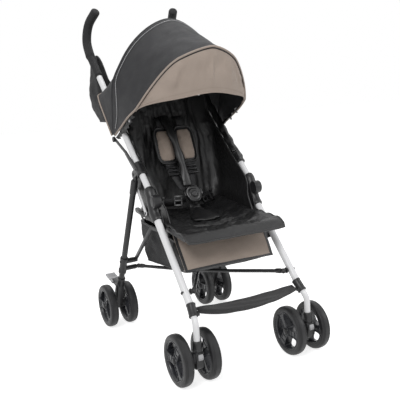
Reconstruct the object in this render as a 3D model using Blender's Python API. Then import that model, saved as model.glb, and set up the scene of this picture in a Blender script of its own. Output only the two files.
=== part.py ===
"""Umbrella-fold stroller: two tube side frames, swinging rear legs, twin wheels and hung soft goods.

Metres, +Z up. The stroller faces -Y, and left is -X. Heights are measured from the floor, and the
Y values here from a plane just in front of the seat back; one parent empty then centres the model.
"""
import math

import bmesh
import bpy
from mathutils import Matrix, Vector
from mathutils.geometry import convex_hull_2d

# Wheels: the radius is from the axle to the flat that stands on the floor
WHEEL_RADIUS = 0.0725
WHEEL_SEGMENTS = 24
TYRE_WIDTH = 0.029
TYRE_DEPTH = 0.016
RIM_DEPTH = 0.006
HUB_RADIUS = 0.013
SPOKE_WIDTH = 0.013
SPOKE_THICKNESS = 0.012
AXLE_RADIUS = 0.004
SWIVEL_Y = -0.286
TRAIL = 0.035
REAR_AXLE_Y = 0.317

# Side frames: FRAME_X is from the middle of the stroller to the tubes' centres
FRAME_X = 0.172
LEG_RADIUS = 0.0115
UPPER_RADIUS = 0.0095
REAR_LEG_RADIUS = 0.0095
TUBE_WALL = 0.0015
TUBE_SIDES = 12
FRONT_WHEEL_X = FRAME_X + 0.010
FRONT_WHEEL_GAP = 2 * (LEG_RADIUS + 0.0155)
REAR_WHEEL_X = FRAME_X + 0.014
REAR_WHEEL_GAP = 2 * (REAR_LEG_RADIUS + 0.0115)
LEG_FOOT_Z = WHEEL_RADIUS + 0.0355
LEG_LOW = (-0.245, 0.219)
LEG_HIGH = (-0.056, 0.427)
LEG_BEND_RADIUS = 0.050
UPPER_LOW = (-0.010, 0.509)
UPPER_HIGH = (0.297, 0.809)
CLEARANCE = 0.0004
COLLAR_SPAN = (0.16, 0.80)
COLLAR_WALL = 0.002
HOUSING_WALL = 0.0034
SLEEVE_SIDES = 20

# Rear legs
LEG_PIVOT = (0.085, 0.545)
STRUT_HINGE_S = 0.3398
BRACE_SOCKET_S = 0.371
PEDAL_HALF_WIDTH = 0.0165
PEDAL_PIN_RADIUS = 0.003

# Casters
FORK_RADIUS = 0.016
FORK_HALF_WIDTH = LEG_RADIUS + 0.0033
BARREL_RADIUS = 0.0145
SOCKET_LOW_Z = WHEEL_RADIUS + 0.028
SOCKET_WALL = 0.0026
STEM_RADIUS = 0.005
LOCK_SIZE = (0.015, 0.0045, 0.0165)
LOCK_LOW_Z = WHEEL_RADIUS + 0.0075
CLAMP_RADIUS = UPPER_RADIUS + CLEARANCE + 0.005

# Side linkage
RAIL_PIVOT = (-0.066, 0.400)
RAIL_REAR = (0.150, 0.4225)
RAIL_FRONT = (-0.194, 0.3867)
RAIL_X = FRAME_X - LEG_RADIUS - 0.0105
RAIL_WIDTH = 0.011
RAIL_HALF_HEIGHT = 0.008
STRUT_X = RAIL_X - 0.012
STRUT_WIDTH = 0.009
STRUT_HALF_HEIGHT = 0.0075
STRUT_BEND = (0.073, 0.375)
STRUT_END = (-0.052, 0.376)
LINK_X = FRAME_X - REAR_LEG_RADIUS - 0.0025
LINK_WIDTH = 0.003
LINK_HALF_HEIGHT = 0.0075
LINK_TOP_S = 0.0575
LINK_END = (0.056, 0.426)
PIN_RADIUS = 0.004

# Cross braces
BALL_RADIUS = 0.008
LOWER_BRACE_RADIUS = 0.0055
LOWER_BALL_X = FRAME_X - LEG_RADIUS - 0.012
LOWER_BALL_D = 0.036
BOLT_HEAD_RADIUS = 0.0065
LOWER_END_X = STRUT_X - 0.0135

# Canopy
CANOPY_HINGE = (0.206, 0.650)
ARM_X = FRAME_X + UPPER_RADIUS + 0.003
ARM_WIDTH = 0.004
CANOPY_HALF_WIDTH = ARM_X + 0.0045
CANOPY_TAPER = 0.012
CANOPY_SHOULDER = 0.62
VISOR_BOW = (math.radians(21.5), 0.222, 0.132, 1.55)
VISOR_LIFT = math.radians(4)
FRONT_BOW = (math.radians(36.5), 0.236, 0.190, 1.5)
MIDDLE_BOW = (math.radians(78), 0.174, 0.194, 1.42)
REAR_BOW = (math.radians(131), 0.184, 0.030, 1.8)
CANOPY_THICKNESS = 0.003
GORE_LAP = 0.0035

# Soft goods
BACK_LOW = (0.135, 0.385)
BACK_HIGH = (0.222, 0.770)
CLOTH_HALF_WIDTH = FRAME_X - max(LEG_RADIUS + 0.006, CLAMP_RADIUS + 0.0026)
BACK_FOOT_HALF_WIDTH = RAIL_X - RAIL_WIDTH / 2 - 0.0035
FLAP_HALF_WIDTH = CLOTH_HALF_WIDTH + 0.0065
CALF_HALF_WIDTH = CLOTH_HALF_WIDTH - 0.0145
STRAP_HALF_WIDTH = FRAME_X - LEG_RADIUS - 0.001
BASKET_HALF_WIDTH = STRUT_X - 0.018
POCKET_BACK_Y = 0.500
POCKET_FRONT_Y = 0.385
POCKET_LOW_Z = 0.702
POCKET_HIGH_Z = 0.925
POCKET_HALF_WIDTH = FRAME_X - 0.022
PAD_SIZE = (0.060, 0.014, 0.106)
PAD_CENTRE = (0.036, 0.150, 0.617)
BUCKLE_CENTRE = (0.0, 0.052, 0.457)
WEBBING_WIDTH = 0.025
WEBBING_THICKNESS = 0.0025

FRONT_AXLE_Y = SWIVEL_Y + TRAIL
FRONT_Y = FRONT_AXLE_Y - WHEEL_RADIUS
CENTRE_Y = (FRONT_Y + POCKET_BACK_Y) / 2
LEFT = -1
RIGHT = 1
SIDES = (("left", LEFT), ("right", RIGHT))


def material(name, colour, roughness, metallic=0.0):
    made = bpy.data.materials.new(name)
    made.use_nodes = True
    shader = made.node_tree.nodes["Principled BSDF"]
    shader.inputs["Base Color"].default_value = (*colour, 1.0)
    shader.inputs["Roughness"].default_value = roughness
    shader.inputs["Metallic"].default_value = metallic
    return made


def make_materials():
    return {
        "white_tube": material("white_tube", (0.82, 0.82, 0.83), 0.35),
        "black_tube": material("black_tube", (0.03, 0.03, 0.032), 0.4),
        "moulded_black": material("moulded_black", (0.022, 0.022, 0.024), 0.45),
        "moulded_grey": material("moulded_grey", (0.30, 0.30, 0.31), 0.4),
        "grip_foam": material("grip_foam", (0.02, 0.02, 0.022), 0.85),
        "tyre": material("tyre", (0.035, 0.035, 0.037), 0.7),
        "steel": material("steel", (0.55, 0.55, 0.57), 0.3, 1.0),
        "black_cloth": material("black_cloth", (0.018, 0.018, 0.02), 0.9),
        "canopy_cloth": material("canopy_cloth", (0.030, 0.030, 0.034), 0.85),
        "beige_cloth": material("beige_cloth", (0.36, 0.29, 0.24), 0.9),
        "webbing": material("webbing", (0.015, 0.015, 0.016), 0.75),
    }


def empty(name, location):
    made = bpy.data.objects.new(name, None)
    made.location = location
    bpy.context.scene.collection.objects.link(made)
    return made


def add(name, bm, skin, pivot=(0.0, 0.0, 0.0)):
    """Turns a bmesh in model coordinates into an object whose origin is at pivot."""
    bmesh.ops.recalc_face_normals(bm, faces=bm.faces)
    bmesh.ops.translate(bm, verts=bm.verts, vec=-Vector(pivot))
    mesh = bpy.data.meshes.new(name)
    bm.to_mesh(mesh)
    bm.free()
    made = bpy.data.objects.new(name, mesh)
    made.location = Vector(pivot)
    made.parent = bpy.data.objects["stroller"]
    bpy.context.scene.collection.objects.link(made)
    if skin:
        mesh.materials.append(skin)
        mesh.shade_smooth()
        mesh.set_sharp_from_angle(angle=math.radians(35))
    return made


def combine(piece, bm, operation):
    """Joins a bmesh to a piece, or cuts it away, and keeps the result as the piece's own mesh."""
    cutter = add(piece.name + "_tool", bm, None, piece.location)
    step = piece.modifiers.new("shape", "BOOLEAN")
    step.operation = operation
    step.object = cutter
    bake(piece)
    bpy.data.objects.remove(cutter)


def bake(piece):
    graph = bpy.context.evaluated_depsgraph_get()
    mesh = bpy.data.meshes.new_from_object(piece.evaluated_get(graph))
    piece.modifiers.clear()
    piece.data = mesh


def build(name, skin, solids, cuts=(), pivot=(0.0, 0.0, 0.0)):
    """One piece from solids that are joined and then cut."""
    piece = add(name, solids[0], skin, pivot)
    for bm in solids[1:]:
        combine(piece, bm, "UNION")
    for bm in cuts:
        combine(piece, bm, "DIFFERENCE")
    return piece


def loft(rings, closed=False):
    """Skins rings of equal point counts; open lofts get flat caps, and closed ones meet themselves."""
    bm = bmesh.new()
    rows = [[bm.verts.new(point) for point in ring] for ring in rings]
    count = len(rows[0])
    pairs = list(zip(rows, rows[1:]))
    if closed:
        pairs.append((rows[-1], rows[0]))
    for low, high in pairs:
        for i in range(count):
            j = (i + 1) % count
            bm.faces.new((low[i], low[j], high[j], high[i]))
    if not closed:
        bm.faces.new(rows[0])
        bm.faces.new(rows[-1])
    return bm


def frames(path):
    """A tangent and two normals at each point of a path, turned as little as possible."""
    tangents = []
    for i in range(len(path)):
        before = path[max(i - 1, 0)]
        after = path[min(i + 1, len(path) - 1)]
        tangents.append((after - before).normalized())
    side = tangents[0].orthogonal().normalized()
    found = []
    for tangent in tangents:
        side = (side - tangent * side.dot(tangent)).normalized()
        found.append((tangent, side, tangent.cross(side)))
    return found


def ring(centre, side, other, radius, sides):
    points = []
    for i in range(sides):
        turn = 2 * math.pi * i / sides
        points.append(centre + side * (radius * math.cos(turn)) + other * (radius * math.sin(turn)))
    return points


def rod(start, end, radius, sides=12):
    path = [Vector(start), Vector(end)]
    return loft([ring(p, s, o, radius, sides) for p, (t, s, o) in zip(path, frames(path))])


def sweep(path, radii, sides=TUBE_SIDES):
    """A solid rod along a path, with its own radius at each point."""
    rings = []
    for point, (_, side, other), radius in zip(path, frames(path), radii):
        rings.append(ring(point, side, other, radius, sides))
    return loft(rings)


def pipe(path, radius, wall, sides=TUBE_SIDES):
    """A hollow tube with open ends."""
    turned = list(zip(path, frames(path)))
    outer = [ring(p, s, o, radius, sides) for p, (_, s, o) in turned]
    inner = [ring(p, s, o, radius - wall, sides) for p, (_, s, o) in turned]
    return loft(outer + inner[::-1], closed=True)


def ball(centre, radius):
    bm = bmesh.new()
    bmesh.ops.create_uvsphere(bm, u_segments=10, v_segments=7, radius=radius)
    bmesh.ops.translate(bm, verts=bm.verts, vec=Vector(centre))
    return bm


def plate(circles, x_low, x_high, sides=12):
    """A flat bar: the outline drawn tight round circles ((y, z), radius), as thick as X says."""
    points = []
    for (y, z), radius in circles:
        for i in range(sides):
            turn = 2 * math.pi * (i + 0.5) / sides
            points.append((y + radius * math.cos(turn), z + radius * math.sin(turn)))
    outline = [points[i] for i in convex_hull_2d(points)]
    return loft([[Vector((x, y, z)) for y, z in outline] for x in (x_low, x_high)])


def side_plate(circles, side, x_low, x_high):
    low, high = sorted((side * x_low, side * x_high))
    return plate(circles, low, high)


def cross_rod(side, place, x_low, x_high, radius, sides=10):
    """A pin, boss or bore along X through a point (y, z) of the side view."""
    return rod((side * x_low, *place), (side * x_high, *place), radius, sides)


def block(low, high):
    bm = bmesh.new()
    bmesh.ops.create_cube(bm, size=1.0)
    centre = (Vector(low) + Vector(high)) / 2
    size = Vector(high) - Vector(low)
    fit = Matrix.Translation(centre) @ Matrix.Diagonal((*size, 1.0))
    bmesh.ops.transform(bm, verts=bm.verts, matrix=fit)
    return bm


def sheet(name, surface, columns, rows, thickness, skin, pivot=(0.0, 0.0, 0.0)):
    """Cloth: a grid on surface(across, up), across -1 to 1 and up 0 to 1, made solid."""
    bm = bmesh.new()
    grid = []
    for j in range(rows + 1):
        line = []
        for i in range(columns + 1):
            line.append(bm.verts.new(surface(-1 + 2 * i / columns, j / rows)))
        grid.append(line)
    for low, high in zip(grid, grid[1:]):
        for i in range(columns):
            bm.faces.new((low[i], low[i + 1], high[i + 1], high[i]))
    piece = add(name, bm, skin, pivot)
    solid = piece.modifiers.new("cloth", "SOLIDIFY")
    solid.thickness = thickness
    solid.offset = 0.0
    bake(piece)
    return piece


def bend_path(low, corner, high, radius, steps=4):
    """Two straight runs joined by an arc at the corner."""
    low, corner, high = Vector(low), Vector(corner), Vector(high)
    before = (low - corner).normalized()
    after = (high - corner).normalized()
    half = before.angle(after) / 2
    start = corner + before * (radius / math.tan(half))
    centre = corner + (before + after).normalized() * (radius / math.sin(half))
    first = start - centre
    normal = before.cross(after).normalized()
    turn = math.pi - 2 * half
    arc = []
    for i in range(steps + 1):
        arc.append(centre + Matrix.Rotation(-turn * i / steps, 3, normal) @ first)
    return [low] + arc + [high]


def smooth_path(points, steps):
    """A curve through all the points, with steps pieces between each two."""
    points = [Vector(p) for p in points]
    ends = [2 * points[0] - points[1]] + points + [2 * points[-1] - points[-2]]
    path = [points[0]]
    for a, b, c, d in zip(ends, ends[1:], ends[2:], ends[3:]):
        for i in range(1, steps + 1):
            t = i / steps
            slow = 2 * b + (c - a) * t
            fast = (2 * a - 5 * b + 4 * c - d) * t**2 + (3 * b - a - 3 * c + d) * t**3
            path.append(0.5 * (slow + fast))
    return path


def mix(low, high, share):
    return low + (high - low) * share


def ease(value, low, high):
    share = min(max((value - low) / (high - low), 0.0), 1.0)
    return share * share * (3 - 2 * share)


def upper_point(distance):
    """A point (y, z) on the upper tube's line, at a distance past the side housing's top."""
    run = Vector(UPPER_HIGH) - Vector(UPPER_LOW)
    return Vector(UPPER_LOW) + run.normalized() * distance


def leg_point(distance):
    """A point (y, z) on the front leg's line, at a distance past its lower mark."""
    run = Vector(LEG_HIGH) - Vector(LEG_LOW)
    return Vector(LEG_LOW) + run.normalized() * distance


def rear_leg_run():
    return Vector((REAR_AXLE_Y, WHEEL_RADIUS)) - Vector(LEG_PIVOT)


def rear_leg_point(distance):
    """A point (y, z) on the rear leg's line, at a distance below its pivot."""
    return Vector(LEG_PIVOT) + rear_leg_run().normalized() * distance


def rear_leg_x(distance):
    return mix(FRAME_X, REAR_WHEEL_X, distance / rear_leg_run().length)


def on_side(side, x, place):
    return Vector((side * x, place[0], place[1]))


def wheel_mesh(skin):
    """Tyre, rim, hub and three spokes, made round the X axis at the origin."""
    outer = WHEEL_RADIUS / math.cos(math.pi / WHEEL_SEGMENTS)
    half = TYRE_WIDTH / 2
    seat = outer - TYRE_DEPTH
    inner = seat - RIM_DEPTH
    profile = [
        (-half * 0.55, outer),
        (-half, outer - 0.0065),
        (-half * 0.90, seat),
        (-half * 0.86, inner),
        (half * 0.86, inner),
        (half * 0.90, seat),
        (half, outer - 0.0065),
        (half * 0.55, outer),
    ]
    rings = []
    for i in range(WHEEL_SEGMENTS):
        turn = 2 * math.pi * (i + 0.5) / WHEEL_SEGMENTS
        rings.append([Vector((x, r * math.sin(turn), r * math.cos(turn))) for x, r in profile])
    solids = [loft(rings, closed=True), rod((-half, 0, 0), (half, 0, 0), HUB_RADIUS, 12)]
    for i in range(3):
        spoke = block(
            (-SPOKE_THICKNESS / 2, -SPOKE_WIDTH / 2, HUB_RADIUS / 2),
            (SPOKE_THICKNESS / 2, SPOKE_WIDTH / 2, inner + RIM_DEPTH / 2),
        )
        turn = Matrix.Rotation(2 * math.pi * i / 3, 4, "X")
        bmesh.ops.transform(spoke, verts=spoke.verts, matrix=turn)
        solids.append(spoke)
    bore = rod((-half * 2, 0, 0), (half * 2, 0, 0), AXLE_RADIUS + CLEARANCE, 12)
    template = build("wheel_template", skin, solids, [bore])
    mesh = template.data
    bpy.data.objects.remove(template)
    return mesh


def make_wheels(skins):
    """Eight wheels from one mesh; each side's pairs stand with one spoke level, as they were left."""
    mesh = wheel_mesh(skins["tyre"])
    pairs = (
        ("front", FRONT_WHEEL_X, FRONT_WHEEL_GAP, FRONT_AXLE_Y),
        ("rear", REAR_WHEEL_X, REAR_WHEEL_GAP, REAR_AXLE_Y),
    )
    for end, centre, gap, axle_y in pairs:
        for word, side in SIDES:
            for place, way in (("outer", 1), ("inner", -1)):
                x = side * (centre + way * (gap + TYRE_WIDTH) / 2)
                wheel = bpy.data.objects.new(f"wheel_{end}_{word}_{place}", mesh)
                wheel.location = (x, axle_y, WHEEL_RADIUS)
                wheel.rotation_euler = (side * math.pi / 2, 0, 0)
                wheel.parent = bpy.data.objects["stroller"]
                bpy.context.scene.collection.objects.link(wheel)
            make_axle(f"axle_{end}_{word}", side * centre, axle_y, gap / 2 + TYRE_WIDTH, skins)


def make_axle(name, centre, axle_y, half_length, skins):
    """A steel pin with a domed cap at each end."""
    head = AXLE_RADIUS + 0.0035
    stations = (
        (-half_length - 0.0035, head * 0.7),
        (-half_length - 0.0015, head),
        (-half_length - CLEARANCE, head),
        (-half_length - CLEARANCE, AXLE_RADIUS),
    )
    stations += tuple((-x, r) for x, r in reversed(stations))
    across = Vector((0, 1, 0))
    upward = Vector((0, 0, 1))
    place = Vector((centre, axle_y, WHEEL_RADIUS))
    rings = [ring(place + Vector((x, 0, 0)), across, upward, r, 12) for x, r in stations]
    add(name, loft(rings), skins["steel"], place)


def make_caster(word, side, skins):
    """The socket on the leg's foot with its stem, the fork that turns on it, and the lock's tab."""
    x = FRONT_WHEEL_X
    barrel_half = FRONT_WHEEL_GAP / 2 - 0.0022
    half = FORK_HALF_WIDTH
    socket_radius = LEG_RADIUS + CLEARANCE + SOCKET_WALL
    fork_top = SOCKET_LOW_Z - 0.0005
    fork_low = WHEEL_RADIUS - FORK_RADIUS

    def on_axis(height):
        return Vector((side * x, SWIVEL_Y, height))

    socket = rod(on_axis(SOCKET_LOW_Z), on_axis(SOCKET_LOW_Z + 0.0295), socket_radius, SLEEVE_SIDES)
    stem = rod(on_axis(fork_low + 0.0015), on_axis(SOCKET_LOW_Z + 0.004), STEM_RADIUS)
    bore = rod(on_axis(LEG_FOOT_Z), on_axis(LEG_FOOT_Z + 0.04), LEG_RADIUS + CLEARANCE, SLEEVE_SIDES)
    build(f"caster_socket_{word}", skins["moulded_black"], [socket, stem], [bore])

    axle = (FRONT_AXLE_Y, WHEEL_RADIUS)
    boss_z = fork_top - FORK_RADIUS
    outline = [
        (axle, 0.0155),
        ((SWIVEL_Y, boss_z), FORK_RADIUS),
        ((SWIVEL_Y, boss_z - 0.020), FORK_RADIUS - 0.002),
    ]
    body = side_plate(outline, side, x - half, x + half)
    barrel = side_plate([(axle, BARREL_RADIUS)], side, x - barrel_half, x + barrel_half)
    stem_bore = rod(on_axis(fork_low - 0.0025), on_axis(fork_top + 0.02), STEM_RADIUS + CLEARANCE)
    axle_bore = cross_rod(side, axle, x - 0.03, x + 0.03, AXLE_RADIUS + CLEARANCE)
    build(f"caster_fork_{word}", skins["moulded_black"], [body, barrel], [stem_bore, axle_bore], on_axis(0.0))

    width, depth, height = LOCK_SIZE
    front = SWIVEL_Y - FORK_RADIUS - CLEARANCE
    tab = block(
        (side * x - width / 2, front - depth, LOCK_LOW_Z),
        (side * x + width / 2, front, LOCK_LOW_Z + height),
    )
    build(f"swivel_lock_{word}", skins["moulded_grey"], [tab])


def make_front_leg(word, side, skins):
    run = (Vector(LEG_HIGH) - Vector(LEG_LOW)).normalized()
    corner_z = LEG_LOW[1] + (SWIVEL_Y - LEG_LOW[0]) * run.y / run.x
    top = leg_point(0.311)
    path = bend_path(
        (side * FRONT_WHEEL_X, SWIVEL_Y, LEG_FOOT_Z + CLEARANCE),
        (side * FRONT_WHEEL_X, SWIVEL_Y, corner_z),
        (side * FRAME_X, *leg_point(0.0)),
        LEG_BEND_RADIUS * 0.7,
    )
    path = path[:-1] + [on_side(side, FRAME_X, leg_point(0.012)), on_side(side, FRAME_X, top)]
    bolt = leg_point(LOWER_BALL_D)
    hole = cross_rod(side, bolt, FRAME_X - 0.03, FRAME_X + 0.03, PIN_RADIUS + CLEARANCE)
    build(f"front_leg_{word}", skins["white_tube"], [pipe(path, LEG_RADIUS, TUBE_WALL)], [hole])

    low, high = (mix(path[-3], path[-2], share) for share in COLLAR_SPAN)
    sleeve = rod(low, high, LEG_RADIUS + CLEARANCE + COLLAR_WALL, SLEEVE_SIDES)
    bore = sweep(path, [LEG_RADIUS + CLEARANCE] * len(path), SLEEVE_SIDES)
    build(f"strap_collar_{word}", skins["moulded_black"], [sleeve], [bore])

    inner = FRAME_X - LEG_RADIUS - CLEARANCE
    outer = FRAME_X + LEG_RADIUS + CLEARANCE
    ball_side = LOWER_BALL_X + BALL_RADIUS + CLEARANCE
    pin = cross_rod(side, bolt, inner - 0.001, outer + 0.001, PIN_RADIUS)
    cup = cross_rod(side, bolt, ball_side, inner, BALL_RADIUS + 0.0005, 16)
    head = cross_rod(side, bolt, outer, outer + 0.003, BOLT_HEAD_RADIUS, 16)
    build(f"brace_bolt_{word}", skins["moulded_black"], [pin, cup, head])


def line_bore(side, start, end, radius):
    """The space that a tube of that radius takes along a line of the side view, with clearance."""
    start, end = (on_side(side, FRAME_X, place) for place in (start, end))
    return rod(start, end, radius + CLEARANCE, SLEEVE_SIDES)


def make_housing(word, side, skins):
    """The joint between leg and upper tube, with a round boss in front and the seat rail's pin."""
    low = leg_point(0.273)
    middle = Vector((-0.033, 0.468))
    high = upper_point(0.0)
    wall = LEG_RADIUS + CLEARANCE + HOUSING_WALL
    top_wall = UPPER_RADIUS + CLEARANCE + HOUSING_WALL + 0.0011
    boss = (-0.055, 0.4775)
    path = [on_side(side, FRAME_X, p) for p in (low, middle, high)]
    shell = sweep(path, [wall, wall + 0.0005, top_wall], SLEEVE_SIDES)
    disc = cross_rod(side, boss, FRAME_X - 0.012, FRAME_X + 0.012, 0.0195, 24)
    neck = side_plate([(boss, 0.012), (middle, 0.015)], side, FRAME_X - 0.008, FRAME_X + 0.008)
    lug_low = FRAME_X - LEG_RADIUS - 0.0005
    ear = [((-0.047, 0.440), 0.012), (RAIL_PIVOT, 0.009)]
    lug = side_plate(ear, side, lug_low - 0.0038, lug_low)
    pin = cross_rod(side, RAIL_PIVOT, RAIL_X - RAIL_WIDTH / 2 - 0.001, lug_low - 0.001, PIN_RADIUS)
    leg_bore = line_bore(side, leg_point(0.2), leg_point(0.3125), LEG_RADIUS)
    tube_bore = line_bore(side, upper_point(-0.0225), upper_point(0.1), UPPER_RADIUS)
    solids = [shell, disc, neck, lug, pin]
    build(f"side_housing_{word}", skins["moulded_black"], solids, [leg_bore, tube_bore])


def make_upper_tube(word, side, skins):
    path = [on_side(side, FRAME_X, upper_point(d)) for d in (-0.022, 0.558)]
    add(f"upper_tube_{word}", pipe(path, UPPER_RADIUS, TUBE_WALL), skins["white_tube"])


def grip_path(side):
    marks = [
        (FRAME_X, *upper_point(0.487)),
        (FRAME_X, *upper_point(0.560)),
        (FRAME_X - 0.001, 0.4180, 0.9270),
        (FRAME_X - 0.005, 0.4520, 0.9780),
        (FRAME_X - 0.014, 0.4430, 1.0320),
        (FRAME_X - 0.028, 0.3950, 1.0720),
    ]
    return [Vector((side * x, y, z)) for x, y, z in marks]


def make_grip(word, side, skins):
    path = smooth_path(grip_path(side), 2)
    count = len(path)
    radii = []
    for i in range(count):
        swell = ease(i, 4, 7)
        tip = 1.0 - 0.35 * ease(i, count - 2.5, count - 1)
        radii.append((UPPER_RADIUS + mix(0.0033, 0.0060, swell)) * tip)
    bore = line_bore(side, upper_point(0.4), upper_point(0.5585), UPPER_RADIUS)
    build(f"handle_grip_{word}", skins["grip_foam"], [sweep(path, radii, 12)], [bore])


def make_clamp(word, side, skins):
    """Grips the upper tube, holds the rear leg's pivot behind it and the canopy's arm outside it."""
    low = on_side(side, FRAME_X, upper_point(0.055))
    high = on_side(side, FRAME_X, upper_point(0.100))
    sleeve = rod(low, high, CLAMP_RADIUS, SLEEVE_SIDES)
    root = upper_point(0.080)
    solids = [sleeve]
    cheek = [(root, 0.012), (LEG_PIVOT, 0.011)]
    for near, far in ((0.0042, 0.0080), (-0.0080, -0.0042)):
        solids.append(side_plate(cheek, side, FRAME_X + near, FRAME_X + far))
    solids.append(cross_rod(side, LEG_PIVOT, FRAME_X - 0.0091, FRAME_X + 0.0093, PIN_RADIUS))
    bend = (0.120, 0.612)
    for start, end, half in ((root, bend, ARM_WIDTH / 2), (bend, CANOPY_HINGE, ARM_WIDTH / 2 - 0.0003)):
        solids.append(side_plate([(start, 0.0075), (end, 0.0070)], side, ARM_X - half, ARM_X + half))
    bore = line_bore(side, upper_point(0.0), upper_point(0.2), UPPER_RADIUS)
    build(f"leg_clamp_{word}", skins["moulded_black"], solids, [bore])


def make_rear_leg(word, side, skins):
    def spot(distance):
        return on_side(side, rear_leg_x(distance), rear_leg_point(distance))

    def stub(distance, x_low, radius):
        return cross_rod(side, rear_leg_point(distance), x_low, rear_leg_x(distance), radius)

    end = rear_leg_run().length - WHEEL_RADIUS - 0.008
    pivot = on_side(side, FRAME_X, LEG_PIVOT)
    tube = rod(spot(0.026), spot(end), REAR_LEG_RADIUS, TUBE_SIDES)
    neck = [(LEG_PIVOT, 0.011), (rear_leg_point(0.034), 0.009)]
    eye = side_plate(neck, side, FRAME_X - 0.0037, FRAME_X + 0.0037)
    bracket_ends = (spot(STRUT_HINGE_S - 0.016), spot(BRACE_SOCKET_S + 0.016))
    bracket = rod(*bracket_ends, REAR_LEG_RADIUS + 0.0038, 16)
    solids = [tube, eye, bracket]
    solids.append(stub(STRUT_HINGE_S, STRUT_X + STRUT_WIDTH / 2 + CLEARANCE, 0.009))
    solids.append(stub(STRUT_HINGE_S, STRUT_X - STRUT_WIDTH / 2 - 0.001, PIN_RADIUS))
    solids.append(stub(BRACE_SOCKET_S, LOWER_END_X + BALL_RADIUS + 0.0006, 0.008))
    solids.append(stub(LINK_TOP_S, LINK_X - LINK_WIDTH / 2 - 0.001, PIN_RADIUS))
    hole = cross_rod(side, LEG_PIVOT, FRAME_X - 0.02, FRAME_X + 0.02, PIN_RADIUS + CLEARANCE)
    build(f"rear_leg_{word}", skins["black_tube"], solids, [hole], pivot)

    x = REAR_WHEEL_X
    barrel_half = REAR_WHEEL_GAP / 2 - 0.0013
    half = REAR_LEG_RADIUS + 0.0012
    axle = (REAR_AXLE_Y, WHEEL_RADIUS)
    pedal = brake_pivot()
    socket_s = max(end - 0.036, BRACE_SOCKET_S + 0.018)
    socket = rod(spot(socket_s), spot(end + 0.006), REAR_LEG_RADIUS + CLEARANCE + 0.0035, SLEEVE_SIDES)
    outline = [(axle, 0.0155), (rear_leg_point(end + 0.002), 0.0125), (pedal, 0.0080)]
    body = side_plate(outline, side, x - half, x + half)
    barrel = side_plate([(axle, BARREL_RADIUS)], side, x - barrel_half, x + barrel_half)
    leg_bore = rod(spot(end - 0.05), spot(end + 0.0005), REAR_LEG_RADIUS + CLEARANCE, SLEEVE_SIDES)
    axle_bore = cross_rod(side, axle, x - 0.03, x + 0.03, AXLE_RADIUS + CLEARANCE)
    pedal_bore = cross_rod(side, pedal, x - 0.03, x + 0.03, PEDAL_PIN_RADIUS + CLEARANCE)
    bores = [leg_bore, axle_bore, pedal_bore]
    build(f"rear_housing_{word}", skins["moulded_black"], [socket, body, barrel], bores, pivot)

    lift = math.radians(12)
    way = Vector((math.cos(lift), math.sin(lift)))
    start = Vector(pedal) + way * 0.022
    finish = Vector(pedal) + way * 0.056
    tread = [(start, 0.0040), (finish, 0.0040)]
    solids = [side_plate(tread, side, x - PEDAL_HALF_WIDTH, x + PEDAL_HALF_WIDTH)]
    for near, far in ((half + CLEARANCE, half + 0.004), (-half - 0.004, -half - CLEARANCE)):
        solids.append(side_plate([(pedal, 0.0065), (start, 0.0045)], side, x + near, x + far))
    solids.append(cross_rod(side, pedal, x - half - 0.002, x + half + 0.002, PEDAL_PIN_RADIUS))
    build(f"brake_pedal_{word}", skins["moulded_grey"], solids, (), (side * x, *pedal))


def brake_pivot():
    return Vector((REAR_AXLE_Y + 0.001, 2 * WHEEL_RADIUS + 0.0085))


def make_linkage(word, side, skins):
    half = RAIL_WIDTH / 2
    ends = [(RAIL_REAR, RAIL_HALF_HEIGHT), (RAIL_FRONT, RAIL_HALF_HEIGHT)]
    rail = side_plate(ends, side, RAIL_X - half, RAIL_X + half)
    hole = cross_rod(side, RAIL_PIVOT, RAIL_X - 0.02, RAIL_X + 0.02, PIN_RADIUS + CLEARANCE)
    build(f"seat_rail_{word}", skins["black_tube"], [rail], [hole], (side * RAIL_X, *RAIL_PIVOT))

    hinge = rear_leg_point(STRUT_HINGE_S)
    low, high = STRUT_X - STRUT_WIDTH / 2, STRUT_X + STRUT_WIDTH / 2
    upright = side_plate([(hinge, 0.0085), (STRUT_BEND, STRUT_HALF_HEIGHT)], side, low, high)
    ends = [(STRUT_BEND, STRUT_HALF_HEIGHT), (STRUT_END, STRUT_HALF_HEIGHT)]
    level = side_plate(ends, side, low + 0.0003, high - 0.0003)
    hole = cross_rod(side, hinge, STRUT_X - 0.02, STRUT_X + 0.02, PIN_RADIUS + CLEARANCE)
    build(f"side_strut_{word}", skins["black_tube"], [upright, level], [hole], (side * STRUT_X, *hinge))

    top = rear_leg_point(LINK_TOP_S)
    low, high = LINK_X - LINK_WIDTH / 2, LINK_X + LINK_WIDTH / 2
    link = side_plate([(top, LINK_HALF_HEIGHT), (LINK_END, LINK_HALF_HEIGHT)], side, low, high)
    hole = cross_rod(side, top, LINK_X - 0.02, LINK_X + 0.02, PIN_RADIUS + CLEARANCE)
    build(f"lock_link_{word}", skins["white_tube"], [link], [hole], (side * LINK_X, *top))


def make_braces(skins):
    """Two crossed bars under the seat, each from a front leg's bolt to the other side's rear leg."""
    end = rear_leg_point(BRACE_SOCKET_S)
    for word, side in SIDES:
        first = on_side(side, LOWER_BALL_X, leg_point(LOWER_BALL_D))
        last = on_side(-side, LOWER_END_X, end)
        crossing = mix(first, last, LOWER_BALL_X / (LOWER_BALL_X + LOWER_END_X))
        crossing.z -= side * (LOWER_BRACE_RADIUS + 0.002)
        run = (last - first).normalized()
        bar = sweep([first + run * 0.003, crossing, last - run * 0.003], [LOWER_BRACE_RADIUS] * 3)
        solids = [bar, ball(first, BALL_RADIUS), ball(last, BALL_RADIUS)]
        build(f"lower_brace_{word}", skins["black_tube"], solids, (), first)


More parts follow.
